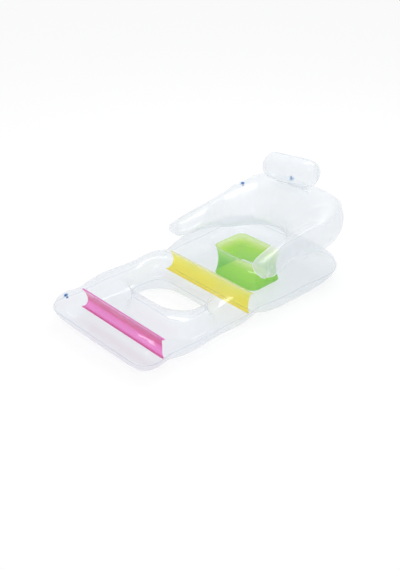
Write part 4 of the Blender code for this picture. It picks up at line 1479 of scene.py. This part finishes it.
    def welds(self) -> np.ndarray:
        """How much of a weld each point of a sheet lies on."""
        rows = len(self.sections()) + 2
        marks = np.zeros((rows, self.across + 3))
        marks[:, :2] = 1.0
        marks[:, -2:] = 1.0
        marks[:2] = 1.0
        marks[-2:] = 1.0
        return marks

    def crest(self) -> Vector:
        """The top of the collar's seam in the middle of the back."""
        sections = self.sections()
        core, tall, _, upward, _, _ = sections[len(sections) // 2]
        return core + (tall + FLANGE) * upward

    def build(self, film: bpy.types.Material, seat: ValveSeat, hole: float) -> None:
        """Makes both sheets."""
        for side in Side:
            net = self.net(side)
            name = "backrest_front_sheet" if side is Side.FRONT else "backrest_rear_sheet"
            if side is Side.FRONT:
                net = seat.flatten(net)
            made = sheet_object(name + "_film", net, None, side is Side.FRONT, film, self.welds())
            thicken(made)
            if side is Side.FRONT:
                punch(made, seat, hole)
            dress(made, name, "backrest")


@dataclass
class Pillow:
    """The headrest: a small pillow of film above the collar's crest, on a neck welded to the collar."""

    crest: Vector
    collar: BVHTree
    advance: float = 0.169
    rise: float = 0.144
    half_length: float = 0.176
    half_height: float = 0.072
    half_depth: float = 0.066
    corner: float = 0.066
    neck_half: float = 0.095
    weld_advance: float = 0.131
    side_room: float = 0.0015
    slant: float = 0.116
    bend_share: float = 0.35
    columns: int = 96
    body_rows: int = 56
    neck_rows: int = 14
    gather: Gather = Gather(0.0022, 0.080, 0.110, 53)

    def neck_points(self, x: float) -> list[tuple[float, float]]:
        """The neck at one x, from its weld on the backrest up to the pillow's lower seam."""
        weld_y = self.crest.y - self.weld_advance
        below = self.collar.ray_cast(Vector((x, weld_y, 0.55)), Vector((0.0, 0.0, -1.0)))[0]
        room = self.side_room * (x / self.neck_half) ** 2
        weld = np.array([weld_y, below.z + WELD_GAP + LIFT + room])
        lower = self.slant * x - self.half_height - FLANGE
        top = np.array([self.crest.y - self.advance, self.crest.z + self.rise + lower])
        bend = np.array([top[0], weld[1] + self.bend_share * (top[1] - weld[1])])
        points = []
        for step in range(self.neck_rows + 1):
            share = step / self.neck_rows
            left = 1.0 - share
            points.append(left**2 * weld + 2.0 * share * left * bend + share * share * top)
        return points

    def net(self, side: Side) -> tuple[np.ndarray, np.ndarray]:
        """One sheet's points, row by row up the neck and the pillow, and the faces beside the neck."""
        rows = self.neck_rows + 1 + self.body_rows + 1
        net = np.zeros((rows + 1, self.columns + 3, 3))
        middle = self.crest + Vector((0.0, -self.advance, self.rise))
        for row in range(rows + 1):
            climb = min(max(row - self.neck_rows - 1, 0), self.body_rows) / self.body_rows
            v = -math.cos(math.pi * climb)
            inset = corner_inset(self.half_height * (1.0 - abs(v)), self.corner)
            for column in range(self.columns + 3):
                share = min(max(column - 1, 0), self.columns) / self.columns
                u = -math.cos(math.pi * share) * 0.5 + (2.0 * share - 1.0) * 0.5
                x = u * (self.half_length - inset)
                if column == 0:
                    x -= FLANGE
                if column == self.columns + 2:
                    x += FLANGE
                if row <= self.neck_rows:
                    points = self.neck_points(x if abs(x) <= self.neck_half else 0.0)
                    ahead = points[min(row + 1, self.neck_rows)] - points[max(row - 1, 0)]
                    ahead = np.array([0.0, 1.0]) if row == self.neck_rows else ahead / np.linalg.norm(ahead)
                    spot = points[row] + side.value * LIFT * np.array([-ahead[1], ahead[0]])
                    net[row, column] = (x, spot[0], spot[1])
                    continue
                height = v * self.half_height + self.slant * x
                if row == rows:
                    height += FLANGE
                depth = self.half_depth * math.sqrt(max((1.0 - u**6) * (1.0 - v * v), 0.0))
                y = middle.y - side.value * (depth + LIFT)
                net[row, column] = (middle.x + x, y, middle.z + height)
        across = (net[:-1, :-1, 0] + net[1:, 1:, 0]) / 2.0
        low = np.arange(rows)[:, None] < self.neck_rows
        return self.gathered(net, side), low & (np.abs(across) > self.neck_half)

    def gathered(self, net: np.ndarray, side: Side) -> np.ndarray:
        """Presses the furrows along the pillow's weld into a sheet."""
        first = self.neck_rows + 1
        rim = np.concatenate([net[first:-1, 1], net[-2, 2:-1], net[-2:first:-1, -2], net[first, -2:1:-1]])
        body = net[first:]
        away, run, number = nearest_on(body[..., [0, 2]].reshape(-1, 2), rim[:, [0, 2]])
        ends = 0.35 + 0.65 * smooth_step(np.abs(rim[number][:, 0]), 0.08, 0.15)
        sunk = self.gather.furrows(run, away, ends).reshape(body.shape[:2])
        depth = np.abs(body[..., 1] - net[first, 1, 1])
        sunk = np.minimum(sunk, 0.4 * depth)
        pressed = net.copy()
        pressed[first:] = body - sunk[..., None] * outward_of(body, side is Side.REAR)
        return pressed

    def build(self, film: bpy.types.Material, seat: ValveSeat, hole: float) -> None:
        """Makes both sheets."""
        for side in Side:
            net, gone = self.net(side)
            name = "headrest_front_sheet" if side is Side.FRONT else "headrest_rear_sheet"
            if side is Side.REAR:
                net = seat.flatten(net)
            weld = np.zeros(net.shape[:2])
            weld[self.neck_rows + 1 :, :2] = 1.0
            weld[self.neck_rows + 1 :, -2:] = 1.0
            weld[-2:] = 1.0
            weld[:2] = 1.0
            weld[self.neck_rows : self.neck_rows + 2] = 1.0
            made = sheet_object(name + "_film", net, gone, side is Side.REAR, film, weld)
            thicken(made)
            if side is Side.REAR:
                punch(made, seat, hole)
            dress(made, name, "headrest")


@dataclass
class Studio:
    """A pale floor, soft lamps and the camera at the photograph's viewing angle."""

    camera_place: tuple[float, float, float] = (2.6981, -2.6229, 2.2905)
    azimuth: float = 46.7705
    elevation: float = 30.8900
    lens_mm: float = 54.47
    sensor_mm: float = 36.0
    floor_paint: tuple[float, float, float, float] = (0.88, 0.885, 0.89, 1.0)
    floor_glow: float = 0.68
    floor_drop: float = 0.0004
    room_light: float = 0.96
    aim: tuple[float, float, float] = (0.0, 0.0, 0.15)

    def add_camera(self) -> None:
        """Makes the camera."""
        a, e = math.radians(self.azimuth), math.radians(self.elevation)
        back = Vector((math.sin(a) * math.cos(e), -math.cos(a) * math.cos(e), math.sin(e)))
        deselect()
        bpy.ops.object.camera_add(location=self.camera_place)
        camera = bpy.context.object
        camera.rotation_mode = "QUATERNION"
        camera.rotation_quaternion = (-back).to_track_quat("-Z", "Y")
        camera.data.lens = self.lens_mm
        camera.data.sensor_width = self.sensor_mm
        camera.data.clip_end = 100.0
        bpy.context.scene.camera = camera

    def add_floor(self) -> None:
        """Makes the floor, which stays white to the eye and keeps the chair's shadow."""
        deselect()
        bpy.ops.mesh.primitive_plane_add(size=60.0, location=(0.0, 0.0, -self.floor_drop))
        floor = bpy.context.object
        floor.name = "studio_floor"
        made, tree = new_tree("matt_white_floor")
        paint = add_node(tree, "ShaderNodeBsdfDiffuse", {"Color": self.floor_paint})
        glow = add_node(tree, "ShaderNodeEmission", {"Color": WHITE})
        both = mix(tree, compute(tree, "MULTIPLY", seen_directly(tree), self.floor_glow), paint, glow)
        add_node(tree, "ShaderNodeOutputMaterial", {"Surface": both.outputs[0]})
        floor.data.materials.append(made)

    def add_world(self) -> None:
        """Makes the white surroundings: plain white to the eye, and a little dimmer as a lamp."""
        world = bpy.data.worlds.new("white_room")
        bpy.context.scene.world = world
        world.use_nodes = True
        tree = world.node_tree
        tree.nodes.clear()
        bright = compute(tree, "MULTIPLY_ADD", seen_directly(tree), 1.0 - self.room_light, self.room_light)
        glow = add_node(tree, "ShaderNodeBackground", {"Color": WHITE, "Strength": bright})
        add_node(tree, "ShaderNodeOutputWorld", {"Surface": glow.outputs[0]})

    def add_lamp(
        self, name: str, place: tuple[float, float, float], sides: tuple[float, float], power: float
    ) -> None:
        """Adds a soft oblong lamp that faces the chair."""
        deselect()
        bpy.ops.object.light_add(type="AREA", location=place)
        lamp = bpy.context.object
        lamp.name = name
        lamp.data.shape = "RECTANGLE"
        lamp.data.size, lamp.data.size_y = sides
        lamp.data.energy = power
        lamp.rotation_mode = "QUATERNION"
        lamp.rotation_quaternion = (Vector(self.aim) - Vector(place)).to_track_quat("-Z", "Y")

    def build(self) -> None:
        """Sets up the whole studio."""
        self.add_floor()
        self.add_world()
        self.add_lamp("key_softbox", (-0.6, 1.2, 3.2), (2.4, 0.5), 34.0)
        self.add_lamp("fill_softbox", (1.6, -1.4, 2.8), (0.9, 0.9), 9.0)
        scene = bpy.context.scene
        scene.view_settings.view_transform = "Standard"
        scene.cycles.transparent_max_bounces = 64


def main() -> None:
    """Builds the chair's visible pieces in order and reports each."""
    logging.basicConfig(level=logging.INFO, format="%(name)s: %(message)s", stream=sys.stdout)
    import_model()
    studio = Studio()
    studio.add_camera()

    clear = MATTRESS_FILM.material()
    cloudy = COLLAR_FILM.material()
    front_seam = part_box("base_top_sheet")[0].y + FLANGE
    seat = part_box("backrest_rear_sheet")[0].z - WELD_GAP

    valve = PushValve()
    collar = Collar(front_seam, seat)
    collar.build(cloudy, BACKREST_SEAT, valve.hole)
    mattress = Mattress(front_seam)
    mattress.build(clear, tree_of(collar.net(Side.REAR)), FOOT_SEAT, valve.hole)
    foot = StraightBaffle("foot_baffle", mattress.foot, 0.0, front_seam)
    foot.build(MAGENTA_FILM.material(), "magenta_film")
    knee = StraightBaffle("knee_baffle", mattress.knee, 0.020, front_seam)
    knee.build(YELLOW_FILM.material(), "yellow_film")
    LoopBaffle(front_seam).build(GREEN_FILM.material())
    pillow = Pillow(collar.crest(), tree_of(collar.net(Side.FRONT)))
    pillow.build(cloudy, HEADREST_SEAT, valve.hole)
    valve.build([FOOT_SEAT, BACKREST_SEAT, HEADREST_SEAT], BLUE_VINYL.material(), PALE_VINYL.material())

    studio.build()


if __name__ == "__main__":
    main()
